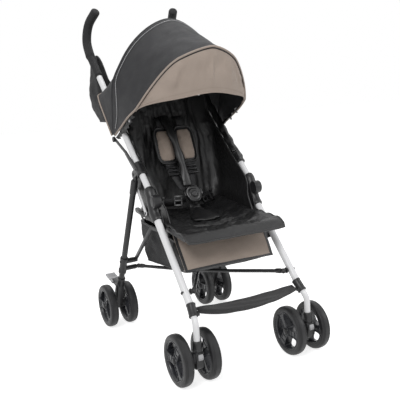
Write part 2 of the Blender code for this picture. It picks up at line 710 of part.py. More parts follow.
def canopy_bow(bow, across, widen=0.0):
    """A point on a bow: straight up both sides from the hinge, then over in a flat arch.

    bow is (angle up from -Y, straight side, arch height, roundness); across runs -1 to 1 over the top.
    """
    angle, straight, height, roundness = bow
    share = abs(across)
    if share > CANOPY_SHOULDER:
        side = 1.0
        radius = straight * (1 - share) / (1 - CANOPY_SHOULDER)
    else:
        turn = share / CANOPY_SHOULDER * math.pi / 2
        side = math.sin(turn) ** (2 / roundness)
        radius = straight + height * math.cos(turn) ** (2 / roundness)
    half_width = CANOPY_HALF_WIDTH - CANOPY_TAPER * ease(radius, 0.15, 0.25) + widen
    radius += widen
    y = CANOPY_HINGE[0] - radius * math.cos(angle)
    z = CANOPY_HINGE[1] + radius * math.sin(angle)
    return Vector((math.copysign(half_width * side, across), y, z))


def make_canopy(skins):
    """Two gores and a visor, straight from bow to bow; the front gore slides over the rear one."""
    hinge = (0.0, *CANOPY_HINGE)
    reach = 0.965

    def front_line(across, up):
        drop = ease(abs(across), CANOPY_SHOULDER, CANOPY_SHOULDER + 0.12)
        angle = mix(FRONT_BOW[0], VISOR_BOW[0] + VISOR_LIFT, drop) + up
        straight = mix(FRONT_BOW[1], VISOR_BOW[1], drop)
        height = mix(FRONT_BOW[2], VISOR_BOW[2], drop)
        return (angle, straight, height, FRONT_BOW[3])

    def rear_gore(across, up):
        return mix(canopy_bow(MIDDLE_BOW, across * reach), canopy_bow(REAR_BOW, across * reach), up)

    def front_gore(across, up):
        across = across * reach
        front = canopy_bow(front_line(across, 0.0), across, GORE_LAP)
        return mix(front, canopy_bow(MIDDLE_BOW, across, GORE_LAP), up)

    def visor(across, up):
        across = across * (CANOPY_SHOULDER + 0.03)
        lift = VISOR_LIFT * ease(abs(across), 0.2, CANOPY_SHOULDER)
        edge = (VISOR_BOW[0] + lift, *VISOR_BOW[1:])
        top = (front_line(across, -0.014)[0], *FRONT_BOW[1:])
        return mix(canopy_bow(edge, across), canopy_bow(top, across), up)

    gore = sheet("canopy_rear_gore", rear_gore, 20, 4, CANOPY_THICKNESS, skins["canopy_cloth"])
    for _, side in SIDES:
        ends = [on_side(side, FRAME_X, upper_point(d)) for d in (0.2, 0.5)]
        combine(gore, rod(*ends, UPPER_RADIUS + 0.0012), "DIFFERENCE")
    sheet("canopy_front_gore", front_gore, 20, 3, CANOPY_THICKNESS, skins["canopy_cloth"], hinge)
    sheet("canopy_visor", visor, 18, 2, CANOPY_THICKNESS, skins["beige_cloth"], hinge)


def back_line(z):
    share = (z - BACK_LOW[1]) / (BACK_HIGH[1] - BACK_LOW[1])
    return mix(BACK_LOW[0], BACK_HIGH[0], share)


def make_seat(skins):
    """Back cloth with wings and upright folds, seat cloth with a rolled front edge, and calf cloth."""
    def wing_line(z):
        run = (UPPER_HIGH[0] - UPPER_LOW[0]) / (UPPER_HIGH[1] - UPPER_LOW[1])
        return UPPER_LOW[0] + (z - UPPER_LOW[1]) * (run if z > UPPER_LOW[1] else 0.55)

    def back(across, up):
        swing = math.sin(across * math.pi / 2)
        share = abs(swing) ** 4.5
        z = mix(0.400 + 0.046 * min(share * 4, 1.0), 0.768, up)
        half_width = mix(BACK_FOOT_HALF_WIDTH, CLOTH_HALF_WIDTH, ease(z, 0.445, 0.50))
        depth = back_line(z)
        rise = math.sin(math.pi * min(up * 1.3, 1.0))
        fold = 0.0035 * math.cos(swing * 5 * math.pi) * rise * (1 - share)
        y = mix(depth, min(wing_line(z), depth), share) + fold
        return Vector((half_width * swing, y, z))

    hinge = (0.0, *BACK_LOW)
    sheet("back_cover", back, 26, 7, 0.005, skins["black_cloth"], hinge)

    def seat(across, up):
        y = mix(-0.224, 0.118, up)
        rail = mix(RAIL_FRONT[1], RAIL_REAR[1], (y - RAIL_FRONT[0]) / (RAIL_REAR[0] - RAIL_FRONT[0]))
        half_width = mix(FLAP_HALF_WIDTH, CLOTH_HALF_WIDTH, ease(y, -0.165, -0.130))
        sag = 0.026 * (1 - min(abs(across) / 0.84, 1.0) ** 2.5) * ease(y, -0.215, -0.08)
        crease = 0.002 * math.cos(y * 150) * (1 - abs(across) ** 4) * ease(y, -0.05, 0.1)
        lift = 0.0135
        drop = 0.019 * (1 - ease(y, -0.236, -0.206)) ** 2
        return Vector((half_width * across, y, rail + lift - sag - drop + crease))

    sheet("seat_cover", seat, 12, 10, 0.005, skins["black_cloth"])

    def calf(across, up):
        z = mix(0.286, 0.362, up)
        y = mix(-0.166, -0.148, up) - 0.004 * math.cos(across * math.pi / 2)
        return Vector((CALF_HALF_WIDTH * across, y, z))

    sheet("calf_panel", calf, 10, 4, 0.004, skins["beige_cloth"])


def rounded_rectangle(half_x, y_low, y_high, z, corner, steps=4):
    """Points round a rounded rectangle at height z; z may be a function of y."""
    points = []
    corners = (
        (half_x - corner, y_high - corner, 0),
        (-half_x + corner, y_high - corner, 90),
        (-half_x + corner, y_low + corner, 180),
        (half_x - corner, y_low + corner, 270),
    )
    for x, y, start in corners:
        for i in range(steps + 1):
            turn = math.radians(start + 90 * i / steps)
            px = x + corner * math.cos(turn)
            py = y + corner * math.sin(turn)
            points.append(Vector((px, py, z(py) if callable(z) else z)))
    return points


def tub(levels, wall, corner):
    """An open-topped bag: levels are (half_x, y_low, y_high, z) from the floor up."""
    outer = [rounded_rectangle(hx, yl, yh, z, corner) for hx, yl, yh, z in levels]
    inner = []
    for i, (hx, yl, yh, z) in enumerate(levels):
        height = z
        if i == 0:
            height = raised(z, wall)
        inner.append(rounded_rectangle(hx - wall, yl + wall, yh - wall, height, corner - wall / 2))
    return loft(outer + inner[::-1])


def raised(z, amount):
    if callable(z):
        return lambda y: z(y) + amount
    return z + amount


def make_bags(skins):
    """The basket under the seat, the pocket behind the back and the strap across the front legs."""
    def floor(y):
        return mix(0.264, 0.2425, (y + 0.125) / 0.305)

    def brim(y):
        return mix(0.345, 0.372, (y + 0.125) / 0.305)

    def middle(share):
        return lambda y: mix(floor(y), brim(y), share)

    wide = BASKET_HALF_WIDTH
    basket = tub(
        [
            (wide - 0.016, -0.100, 0.160, floor),
            (wide - 0.004, -0.114, 0.176, middle(0.22)),
            (wide, -0.122, 0.184, middle(0.6)),
            (wide, -0.126, 0.186, brim),
        ],
        0.004, 0.030,
    )
    add("storage_basket", basket, skins["black_cloth"])

    half = POCKET_HALF_WIDTH
    front, back = POCKET_FRONT_Y, POCKET_BACK_Y
    low, high = POCKET_LOW_Z, POCKET_HIGH_Z
    pocket = tub(
        [
            (half - 0.030, front + 0.020, back - 0.030, low),
            (half - 0.008, front + 0.006, back - 0.007, low + 0.030),
            (half, front, back, low + 0.095),
            (half - 0.002, front + 0.004, back - 0.010, high),
        ],
        0.004, 0.022,
    )
    add("rear_pocket", pocket, skins["black_cloth"])

    def strap(across, up):
        sag = 1 - across * across
        z = 0.2085 - 0.024 * sag + mix(-1, 1, up) * mix(0.013, 0.018, sag)
        y = mix(-0.266, -0.242, up) - 0.014 * sag
        return Vector((STRAP_HALF_WIDTH * across, y, z))

    sheet("footrest_strap", strap, 14, 3, 0.003, skins["webbing"])


def make_harness(skins):
    """Shoulder pads, webbing, and the buckle with its button."""
    width, depth, height = PAD_SIZE
    for word, side in SIDES:
        centre = Vector((side * PAD_CENTRE[0], PAD_CENTRE[1], PAD_CENTRE[2]))
        rings = []
        for share in (0.0, 0.06, 0.2, 0.5, 0.8, 0.94, 1.0):
            swell = max(math.sin(math.pi * share), 0.0) ** 0.35
            wide = mix(0.5, 1.0, swell) * width / 2
            deep = mix(0.35, 1.0, swell) * depth / 2
            level = centre + Vector((0, 0, (share - 0.5) * height))
            outline = []
            for i in range(16):
                turn = 2 * math.pi * i / 16
                c, s = math.cos(turn), math.sin(turn)
                px = wide * math.copysign(abs(c) ** 0.6, c)
                py = deep * math.copysign(abs(s) ** 0.8, s)
                outline.append(level + Vector((px, py, 0)))
            rings.append(outline)
        add(f"shoulder_pad_{word}", loft(rings), skins["beige_cloth"])

    def ribbon(points, across):
        across = Vector(across).normalized()
        path = [Vector(p) for p in points]
        rings = []
        for point, (tangent, _, _) in zip(path, frames(path)):
            lift = tangent.cross(across).normalized() * (WEBBING_THICKNESS / 2)
            wide = across * (WEBBING_WIDTH / 2)
            low, high = point - lift, point + lift
            rings.append([low - wide, low + wide, high + wide, high - wide])
        return loft(rings)

    solids = [block((-0.0155, 0.0495, 0.4285), (0.0155, 0.0600, 0.4505))]
    solids.append(ribbon([(0, 0.0535, 0.4365), (0, 0.040, 0.424), (0, 0.024, 0.418)], (1, 0, 0)))
    for side in (LEFT, RIGHT):
        x = side * PAD_CENTRE[0]
        near = 0.0553 + side * 0.0005
        shoulder = [
            (x, 0.1655, 0.695),
            (x, 0.1620, 0.565),
            (x * 0.7, 0.1175 + side * 0.0005, 0.490),
            (side * 0.003, near, 0.4405),
        ]
        lap = [
            (side * 0.007, 0.0556, 0.4385),
            (side * 0.044, 0.078, 0.437),
            (side * 0.082, 0.103, 0.438),
        ]
        solids.append(ribbon(shoulder, (1, 0, 0)))
        solids.append(ribbon(lap, (0, -0.25, 1)))
    build("harness", skins["webbing"], solids)

    cx, cy, cz = BUCKLE_CENTRE
    lean = Matrix.Rotation(math.radians(-35), 4, "X")
    spot = Matrix.Translation(BUCKLE_CENTRE) @ lean @ Matrix.Translation((0, -0.016, 0))

    def placed(bm):
        bmesh.ops.transform(bm, verts=bm.verts, matrix=spot)
        return bm

    case = block((-0.022, -0.006, -0.024), (0.022, 0.006, 0.024))
    bmesh.ops.bevel(case, geom=case.edges[:], offset=0.003, segments=2, affect="EDGES", profile=0.5)
    recess = rod((0, -0.0075, 0), (0, -0.0010, 0), 0.0094, 20)
    build("buckle", skins["moulded_black"], [placed(case)], [placed(recess)], (cx, cy, cz))
    button = rod((0, -0.0072, 0), (0, -0.0042, 0), 0.0090, 20)
    build("buckle_button", skins["moulded_grey"], [placed(button)], (), (cx, cy, cz))


def main():
    for old in list(bpy.data.objects):
        bpy.data.objects.remove(old)
    empty("stroller", (0, -CENTRE_Y, 0))
    bpy.context.view_layer.update()
    skins = make_materials()
    make_wheels(skins)
    for word, side in SIDES:
        make_caster(word, side, skins)
        make_front_leg(word, side, skins)
        make_housing(word, side, skins)
        make_upper_tube(word, side, skins)
        make_grip(word, side, skins)
        make_clamp(word, side, skins)
        make_rear_leg(word, side, skins)
        make_linkage(word, side, skins)
    make_braces(skins)
    make_canopy(skins)
    make_seat(skins)
    make_bags(skins)
    make_harness(skins)


main()
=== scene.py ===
"""Looks of the umbrella-fold stroller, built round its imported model.

Metres, +Z up. Places are written as the model's own source has them, with Y from just in front of the
seat back; SHIFT moves them into the row frame. Left is -X and the stroller faces -Y.
"""
import bisect
import math

import bmesh
import bpy
from mathutils import Matrix, Vector, noise
from mathutils.geometry import convex_hull_2d


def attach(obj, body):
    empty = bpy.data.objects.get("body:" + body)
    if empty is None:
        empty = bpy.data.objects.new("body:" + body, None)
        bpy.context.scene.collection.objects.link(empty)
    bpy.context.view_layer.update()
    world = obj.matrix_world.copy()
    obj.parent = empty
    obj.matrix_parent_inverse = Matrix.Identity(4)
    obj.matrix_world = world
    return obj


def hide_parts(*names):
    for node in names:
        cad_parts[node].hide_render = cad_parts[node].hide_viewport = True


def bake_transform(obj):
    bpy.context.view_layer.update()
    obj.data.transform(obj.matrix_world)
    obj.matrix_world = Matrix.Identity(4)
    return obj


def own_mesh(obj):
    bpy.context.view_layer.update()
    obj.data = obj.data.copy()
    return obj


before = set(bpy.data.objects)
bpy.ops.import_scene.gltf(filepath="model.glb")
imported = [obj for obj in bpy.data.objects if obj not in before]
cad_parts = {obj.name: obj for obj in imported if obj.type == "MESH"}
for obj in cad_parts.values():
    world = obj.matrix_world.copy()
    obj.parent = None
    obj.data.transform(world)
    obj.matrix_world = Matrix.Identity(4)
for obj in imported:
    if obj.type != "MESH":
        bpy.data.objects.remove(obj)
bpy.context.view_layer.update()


# Places and sizes of the model; _S is a distance down the rear leg, _D one up the front leg
SHIFT = -0.08825
SIDES = (("left", -1), ("right", 1))
WHEEL_RADIUS = 0.0725
TYRE_WIDTH = 0.029
AXLE_RADIUS = 0.004
FRONT_WHEEL_X = 0.182
FRONT_WHEEL_GAP = 0.054
SWIVEL_Y = -0.286
FRONT_AXLE_Y = -0.251
REAR_WHEEL_X = 0.186
REAR_WHEEL_GAP = 0.042
FORK_HALF_WIDTH = 0.0148
REAR_PLATE_HALF_WIDTH = 0.0107
REAR_AXLE_Y = 0.317
FRAME_X = 0.172
LEG_RADIUS = 0.0115
LEG_TUBE_RADIUS = 0.0106
FOOT_TUBE_RADIUS = 0.0088
UPPER_RADIUS = 0.0095
LEG_FOOT_Z = 0.108
LEG_LOW = (-0.245, 0.219)
LEG_HIGH = (-0.056, 0.427)
UPPER_LOW = (-0.010, 0.509)
UPPER_HIGH = (0.297, 0.809)
COLLAR_SPAN = (0.16, 0.80)
LEG_PIVOT = (0.085, 0.545)
REAR_LEG_RADIUS = 0.0095
STRUT_HINGE_S = 0.3398
BRACE_SOCKET_S = 0.371
RAIL_PIVOT = (-0.066, 0.400)
RAIL_REAR = (0.150, 0.4225)
RAIL_FRONT = (-0.194, 0.3867)
RAIL_X = 0.150
STRUT_X = 0.138
STRUT_BEND = (0.073, 0.375)
STRUT_END = (-0.052, 0.376)
LINK_X = 0.160
LINK_TOP_S = 0.0575
LINK_END = (0.056, 0.426)
BALL_RADIUS = 0.008
LOWER_BRACE_RADIUS = 0.0055
LOWER_BALL_X = 0.1485
LOWER_BALL_D = 0.036
LOWER_END_X = 0.1245
CANOPY_HINGE = (0.206, 0.650)
CANOPY_HALF_WIDTH = 0.189
CANOPY_TAPER = 0.012
CANOPY_SHOULDER = 0.62
VISOR_BOW = (math.radians(21.5), 0.222, 0.132, 1.55)
VISOR_LIFT = math.radians(4)
FRONT_BOW = (math.radians(36.5), 0.236, 0.190, 1.5)
MIDDLE_BOW = (math.radians(78), 0.174, 0.194, 1.68)
REAR_BOW = (math.radians(131), 0.184, 0.030, 1.8)
GORE_LAP = 0.0035
SEAM_DROP = (0.24, 0.66)
CANOPY_CLIPS = {"left": ((0.10, 0.004),), "right": ((0.10, 0.004), (0.34, 0.006))}
BACK_LOW = (0.135, 0.385)
BACK_HIGH = (0.222, 0.770)
PAD_CENTRE = (0.036, 0.150, 0.617)
PAD_LEAN = 0.40
POCKET_SAG = 0.092
BUCKLE_CENTRE = (0.0, 0.052, 0.457)
BRAKE_PIVOT = (0.318, 0.1535)
FLOOR_GLOW = 0.72

# Shares of a piece's width meant for the fold; squash gives a piece its own mesh but does not narrow it by
# them
FOLD_KEEP = 0.39
BACK_FOLD_KEEP = 0.31
PAD_FOLD_KEEP = 0.6


def mix(low, high, share):
    return low + (high - low) * share


def ease(value, low, high):
    share = min(max((value - low) / (high - low), 0.0), 1.0)
    return share * share * (3 - 2 * share)


def rounded(value, power):
    """A sine or cosine with its power changed, for outlines between a circle and a rectangle."""
    return math.copysign(abs(value) ** power, value)


def even_steps(low, high, count):
    return [mix(low, high, i / count) for i in range(count + 1)]


def along_line(low, high, distance):
    run = Vector(high) - Vector(low)
    return Vector(low) + run.normalized() * distance


def upper_point(distance):
    return along_line(UPPER_LOW, UPPER_HIGH, distance)


def leg_point(distance):
    return along_line(LEG_LOW, LEG_HIGH, distance)


def rear_leg_run():
    return Vector((REAR_AXLE_Y, WHEEL_RADIUS)) - Vector(LEG_PIVOT)


def rear_leg_point(distance):
    return Vector(LEG_PIVOT) + rear_leg_run().normalized() * distance


def rear_leg_x(distance):
    return mix(FRAME_X, REAR_WHEEL_X, distance / rear_leg_run().length)


def on_side(side, x, place):
    return Vector((side * x, place[0], place[1]))


# Materials


class Shader:
    """A material whose colour, roughness and relief are built up step by step."""

    def __init__(self, name, slot, colour, roughness, metallic=0.0, sheen=0.0, coat=0.0, specular=0.5):
        self.made = bpy.data.materials.new(name)
        self.made.use_nodes = True
        self.made["slot"] = slot
        self.nodes = self.made.node_tree.nodes
        self.links = self.made.node_tree.links
        self.shader = self.nodes["Principled BSDF"]
        self.colour = (*colour, 1.0)
        inputs = self.shader.inputs
        inputs["Base Color"].default_value = self.colour
        inputs["Roughness"].default_value = roughness
        inputs["Metallic"].default_value = metallic
        inputs["Sheen Weight"].default_value = sheen
        inputs["Sheen Roughness"].default_value = 0.4
        inputs["Coat Weight"].default_value = coat
        inputs["Coat Roughness"].default_value = 0.15
        inputs["Specular IOR Level"].default_value = specular
        self.roughness = roughness
        self.place = self.nodes.new("ShaderNodeTexCoord")
        self.relief = None

    def join(self, output, socket):
        self.links.new(output, socket)

    def noise(self, scale, detail=2, stretch=None):
        texture = self.nodes.new("ShaderNodeTexNoise")
        texture.inputs["Scale"].default_value = scale
        texture.inputs["Detail"].default_value = detail
        if stretch:
            mapping = self.nodes.new("ShaderNodeMapping")
            mapping.inputs["Scale"].default_value = stretch
            self.join(self.place.outputs["Object"], mapping.inputs["Vector"])
            self.join(mapping.outputs["Vector"], texture.inputs["Vector"])
        else:
            self.join(self.place.outputs["Object"], texture.inputs["Vector"])
        return texture.outputs["Fac"]

    def spread(self, value, low, high, start=0.3, end=0.7):
        change = self.nodes.new("ShaderNodeMapRange")
        change.inputs["From Min"].default_value = start
        change.inputs["From Max"].default_value = end
        change.inputs["To Min"].default_value = low
        change.inputs["To Max"].default_value = high
        self.join(value, change.inputs["Value"])
        return change.outputs["Result"]

    def maths(self, operation, first, second):
        step = self.nodes.new("ShaderNodeMath")
        step.operation = operation
        for socket, value in zip(step.inputs, (first, second)):
            if isinstance(value, float):
                socket.default_value = value
            else:
                self.join(value, socket)
        return step.outputs["Value"]

    def shade(self, value, low, high, start=0.3, end=0.7):
        """Multiplies the colour by a factor that follows value."""
        factor = self.spread(value, low, high, start, end)
        blend = self.nodes.new("ShaderNodeVectorMath")
        blend.operation = "SCALE"
        base = self.shader.inputs["Base Color"]
        if base.is_linked:
            self.join(base.links[0].from_socket, blend.inputs[0])
        else:
            blend.inputs[0].default_value = self.colour[:3]
        self.join(factor, blend.inputs["Scale"])
        self.join(blend.outputs["Vector"], base)
        return self

    def gloss(self, value, amount):
        spread = self.spread(value, self.roughness - amount, self.roughness + amount)
        self.join(spread, self.shader.inputs["Roughness"])
        return self

    def raise_by(self, height, strength, distance):
        step = self.nodes.new("ShaderNodeBump")
        step.inputs["Strength"].default_value = strength
        step.inputs["Distance"].default_value = distance
        self.join(height, step.inputs["Height"])
        if self.relief:
            self.join(self.relief, step.inputs["Normal"])
        self.relief = step.outputs["Normal"]
        self.join(self.relief, self.shader.inputs["Normal"])
        return self

    def grain(self, tone, gloss=None, relief=None):
        """Noise in the colour (scale, detail, low, high), in the gloss (scale, amount) and in the
        height (scale, detail, strength, distance)."""
        self.shade(self.noise(tone[0], tone[1]), *tone[2:])
        if gloss:
            self.gloss(self.noise(gloss[0]), gloss[1])
        if relief:
            self.raise_by(self.noise(relief[0], relief[1]), *relief[2:])
        return self

    def wave(self, direction, pitch, source):
        texture = self.nodes.new("ShaderNodeTexWave")
        texture.bands_direction = direction
        texture.inputs["Scale"].default_value = math.pi / 10 / pitch
        texture.inputs["Distortion"].default_value = 0.0
        self.join(self.place.outputs[source], texture.inputs["Vector"])
        return texture.outputs["Fac"]

    def weave(self, pitch, strength, source="UV", directions="XY", thread_shading=0.12):
        """Plain weave: warp and weft threads as bands across each other, with painted shade in the low gaps
        between threads and slightly lighter thread tops.
        """
        warp = self.wave(directions[0], pitch, source)
        weft = self.wave(directions[1], pitch, source)
        height = self.maths("MAXIMUM", warp, weft)
        self.raise_by(height, strength, pitch * 0.35)
        # Painted shade: the colour is darker where the weave is low and a little lighter on the threads'
        # tops.
        return self.shade(height, 1.0 - thread_shading, 1.0 + thread_shading * 0.5, 0.2, 1.0)


def make_skins():
    skins = {}

    def begin(name, slot, colour, roughness, **more):
        skins[name] = Shader(name, slot, colour, roughness, **more)
        return skins[name]

    skin = begin("white_paint", "white_tube", (0.80, 0.80, 0.81), 0.32, coat=0.15)
    skin.grain((9, 2, 0.97, 1.02), (40, 0.06), (900, 1, 0.12, 0.0002))
    skin = begin("black_paint", "black_tube", (0.018, 0.018, 0.019), 0.38, specular=0.4)
    skin.grain((12, 2, 0.85, 1.15), (55, 0.08), (1100, 1, 0.25, 0.0002))
    skin = begin("moulded_black", "moulded_black", (0.013, 0.013, 0.014), 0.38, specular=0.42)
    skin.grain((25, 2, 0.8, 1.2), (70, 0.08), (1500, 2, 0.3, 0.0002))
    skin = begin("glossy_black", "moulded_black", (0.011, 0.011, 0.012), 0.20, specular=0.6)
    skin.grain((30, 2, 0.85, 1.15), (60, 0.06), (600, 1, 0.05, 0.0002))
    skin = begin("button_grey", "moulded_grey", (0.030, 0.030, 0.032), 0.3)
    skin.grain((30, 2, 0.92, 1.08), (70, 0.06), (1300, 2, 0.2, 0.0002))
    skin = begin("moulded_grey", "moulded_grey", (0.40, 0.40, 0.41), 0.36)
    skin.grain((30, 2, 0.92, 1.08), (70, 0.08), (1300, 2, 0.25, 0.0002))
    skin = begin("wheel_rim", "moulded_black", (0.022, 0.023, 0.027), 0.30)
    skin.grain((35, 2, 0.85, 1.2), (80, 0.08), (1200, 2, 0.2, 0.0002))
    skin = begin("tyre_foam", "tyre", (0.014, 0.014, 0.015), 0.46, specular=0.40)
    skin.grain((45, 2, 0.8, 1.25), (60, 0.1), (1000, 3, 0.45, 0.0004))

    skin = begin("grip_foam", "grip_foam", (0.015, 0.015, 0.016), 0.70, specular=0.3)
    cells = skin.nodes.new("ShaderNodeTexVoronoi")
    cells.inputs["Scale"].default_value = 900
    skin.join(skin.place.outputs["Object"], cells.inputs["Vector"])
    skin.grain((40, 2, 0.85, 1.2)).raise_by(cells.outputs["Distance"], 0.5, 0.0004)

    skin = begin("steel", "steel", (0.56, 0.56, 0.58), 0.28, metallic=1.0)
    brushed = (0.1, 1.0, 1.0)
    skin.grain((120, 2, 0.9, 1.05), (300, 0.08)).raise_by(skin.noise(700, 2, brushed), 0.15, 0.0002)

    skin = begin("satin_black", "black_cloth", (0.010, 0.010, 0.0105), 0.40, sheen=0.01)
    skin.grain((14, 2, 0.85, 1.15), (25, 0.06), (120, 4, 0.35, 0.0010)).weave(0.0009, 0.35)
    skin = begin("matt_black", "black_cloth", (0.009, 0.009, 0.010), 0.62, sheen=0.01, specular=0.28)
    skin.grain((14, 2, 0.85, 1.15), None, (150, 4, 0.3, 0.0008)).weave(0.0011, 0.5)
    skin = begin("canopy_black", "canopy_cloth", (0.024, 0.024, 0.026), 0.62, sheen=0.02, specular=0.22)
    skin.grain((10, 2, 0.92, 1.08), (30, 0.05), (70, 3, 0.15, 0.0010)).weave(0.0008, 0.4)
    skin = begin("taupe_cloth", "beige_cloth", (0.365, 0.300, 0.255), 0.70, sheen=0.10, specular=0.3)
    skin.grain((12, 2, 0.95, 1.05)).grain((900, 2, 0.93, 1.07), None, (110, 4, 0.2, 0.0010))
    skin.weave(0.0009, 0.4, thread_shading=0.1)
    skin = begin("taupe_pad", "beige_cloth", (0.350, 0.285, 0.240), 0.76, sheen=0.10, specular=0.25)
    skin.grain((60, 3, 0.93, 1.06)).grain((900, 2, 0.9, 1.1)).weave(0.0010, 0.5, "Object", "XZ")
    skin = begin("webbing", "webbing", (0.010, 0.010, 0.011), 0.50, sheen=0.02)
    skin.grain((60, 2, 0.85, 1.15)).weave(0.0016, 0.7, thread_shading=0.25)

    skin = begin("taupe_piping", "beige_cloth", (0.360, 0.298, 0.255), 0.68, sheen=0.10, specular=0.3)
    skin.grain((300, 2, 0.9, 1.08), None, (1400, 2, 0.35, 0.0003))
    skin = begin("black_binding", "black_cloth", (0.013, 0.013, 0.014), 0.50, sheen=0.02)
    skin.grain((300, 2, 0.85, 1.15), None, (1300, 2, 0.45, 0.0003))
    skin = begin("pale_thread", "canopy_cloth", (0.60, 0.60, 0.61), 0.6)
    skin.grain((700, 2, 0.8, 1.2), None, (3000, 2, 0.3, 0.0002))
    skin = begin("taupe_thread", "beige_cloth", (0.22, 0.175, 0.145), 0.7)
    skin.grain((700, 2, 0.85, 1.15), None, (3000, 2, 0.3, 0.0002))
    return skins


SKINS = make_skins()

# Mesh building


def smooth_path(points, steps):
    """A curve through all the points, with steps pieces between each two."""
    points = [Vector(p) for p in points]
    ends = [2 * points[0] - points[1]] + points + [2 * points[-1] - points[-2]]
    path = [points[0]]
    for a, b, c, d in zip(ends, ends[1:], ends[2:], ends[3:]):
        for i in range(1, steps + 1):
            t = i / steps
            slow = 2 * b + (c - a) * t
            fast = (2 * a - 5 * b + 4 * c - d) * t**2 + (3 * b - a - 3 * c + d) * t**3
            path.append(0.5 * (slow + fast))
    return path


def frames(path):
    """A tangent and two normals at each point of a path, turned as little as possible."""
    tangents = []
    for i in range(len(path)):
        before = path[max(i - 1, 0)]
        after = path[min(i + 1, len(path) - 1)]
        tangents.append((after - before).normalized())
    side = tangents[0].orthogonal().normalized()
    found = []
    for tangent in tangents:
        side = (side - tangent * side.dot(tangent)).normalized()
        found.append((tangent, side, tangent.cross(side)))
    return found


def loft(rings, closed=False, caps=True):
    """Vertices and faces of a skin over rings of equal point counts."""
    count = len(rings[0])
    verts = [point for ring in rings for point in ring]
    faces = []
    rows = len(rings) if closed else len(rings) - 1
    for row in range(rows):
        low = row * count
        high = (row + 1) % len(rings) * count
        for i in range(count):
            j = (i + 1) % count
            faces.append((low + i, low + j, high + j, high + i))
    if caps and not closed:
        faces.append(tuple(range(count)))
        faces.append(tuple(range(len(verts) - count, len(verts))))
    return verts, faces


def join(*parts):
    verts, faces = [], []
    for some, these in parts:
        start = len(verts)
        verts.extend(some)
        faces.extend(tuple(start + i for i in face) for face in these)
    return verts, faces


def circle(centre, side, other, radius, sides):
    points = []
    for i in range(sides):
        turn = 2 * math.pi * i / sides
        points.append(centre + side * (radius * math.cos(turn)) + other * (radius * math.sin(turn)))
    return points


def sweep(path, radii, sides=24, rounding=0.0):
    """A round rod along a path; rounding is the radius of its two end edges."""
    path = [Vector(p) for p in path]
    if isinstance(radii, float):
        radii = [radii] * len(path)
    radii = list(radii)
    if rounding:
        ends = []
        for end, inward in ((0, 1), (-1, -2)):
            way = (path[inward] - path[end]).normalized()
            steps = []
            for share in (0.0, 0.15, 0.4, 1.0):
                drop = rounding * (1 - math.sqrt(1 - (1 - share) ** 2))
                steps.append((path[end] + way * (rounding * share), radii[end] - drop))
            ends.append(steps)
        middle = list(zip(path[1:-1], radii[1:-1]))
        stations = ends[0] + middle + ends[1][::-1]
        path = [p for p, _ in stations]
        radii = [r for _, r in stations]
    rings = []
    for point, (_, side, other), radius in zip(path, frames(path), radii):
        rings.append(circle(point, side, other, radius, sides))
    return loft(rings)


def lathe(profile, centre, axis, sides=32, closed=False):
    """A turned shape: profile is (distance along axis, radius) from one end to the other."""
    axis = Vector(axis).normalized()
    side = axis.orthogonal().normalized()
    other = axis.cross(side)
    rings = [circle(Vector(centre) + axis * along, side, other, radius, sides) for along, radius in profile]
    return loft(rings, closed=closed)


def bar(circles, x_low, x_high, sides=20):
    """A flat bar: the outline drawn tight round circles ((y, z), radius), as thick as X says."""
    points = []
    for (y, z), radius in circles:
        for i in range(sides):
            turn = 2 * math.pi * (i + 0.5) / sides
            points.append((y + radius * math.cos(turn), z + radius * math.sin(turn)))
    outline = [points[i] for i in convex_hull_2d(points)]
    return loft([[Vector((x, y, z)) for y, z in outline] for x in sorted((x_low, x_high))])


def box(low, high, matrix=None):
    low, high = Vector(low), Vector(high)
    verts = [Vector((x, y, z)) for x in (low.x, high.x) for y in (low.y, high.y) for z in (low.z, high.z)]
    if matrix:
        verts = [matrix @ v for v in verts]
    return verts, [(0, 1, 3, 2), (4, 6, 7, 5), (0, 4, 5, 1), (2, 3, 7, 6), (0, 2, 6, 4), (1, 5, 7, 3)]


def stud(side, place, x, radius, height):
    """A domed rivet head on a plane across X, pointing outwards from x by height."""
    profile = []
    for share in (0.0, 0.35, 0.65, 0.88, 1.0):
        profile.append((height * share, radius * math.sqrt(max(1 - share * share * 0.93, 0.0))))
    profile = [(-0.001, radius * 0.98)] + profile
    return lathe(profile, (side * x, *place), (side if height > 0 else -side, 0, 0), 16)


def on_upper(side, distance):
    return on_side(side, FRAME_X, upper_point(distance))


def on_leg(side, distance):
    return on_side(side, FRAME_X, leg_point(distance))


def both_ends(profile):
    """A wheel part's half profile of (x, radius) with its mirror image."""
    return profile + [(-x, r) for x, r in reversed(profile)]


def span(side, x, half):
    """The two X faces of a plate that stands half to either side of x."""
    return side * (x - half), side * (x + half)


def grid_faces(columns, rows):
    faces = []
    for j in range(rows):
        for i in range(columns):
            a = j * (columns + 1) + i
            faces.append((a, a + 1, a + columns + 2, a + columns + 1))
    return faces


def grid(surface, columns, rows):
    """A sheet on surface(across, up), across -1 to 1 and up 0 to 1."""
    verts = []
    for j in range(rows + 1):
        for i in range(columns + 1):
            verts.append(surface(-1 + 2 * i / columns, j / rows))
    return verts, grid_faces(columns, rows)


def ribbon(path, across, width, thickness, rounding=0.3):
    """A flat strap along a path; across is its width's direction, one for all or one for each point."""
    path = [Vector(p) for p in path]
    if not isinstance(across, list):
        across = [Vector(across)] * len(path)
    rings = []
    for point, (tangent, _, _), way in zip(path, frames(path), across):
        way = (way - tangent * way.dot(tangent)).normalized()
        lift = tangent.cross(way).normalized() * (thickness / 2)
        wide = way * (width / 2)
        near = wide * (1 - rounding * thickness / width * 2)
        rings.append(
            [
                point - wide,
                point - near - lift,
                point + near - lift,
                point + wide,
                point + near + lift,
                point - near + lift,
            ]
        )
    return loft(rings)


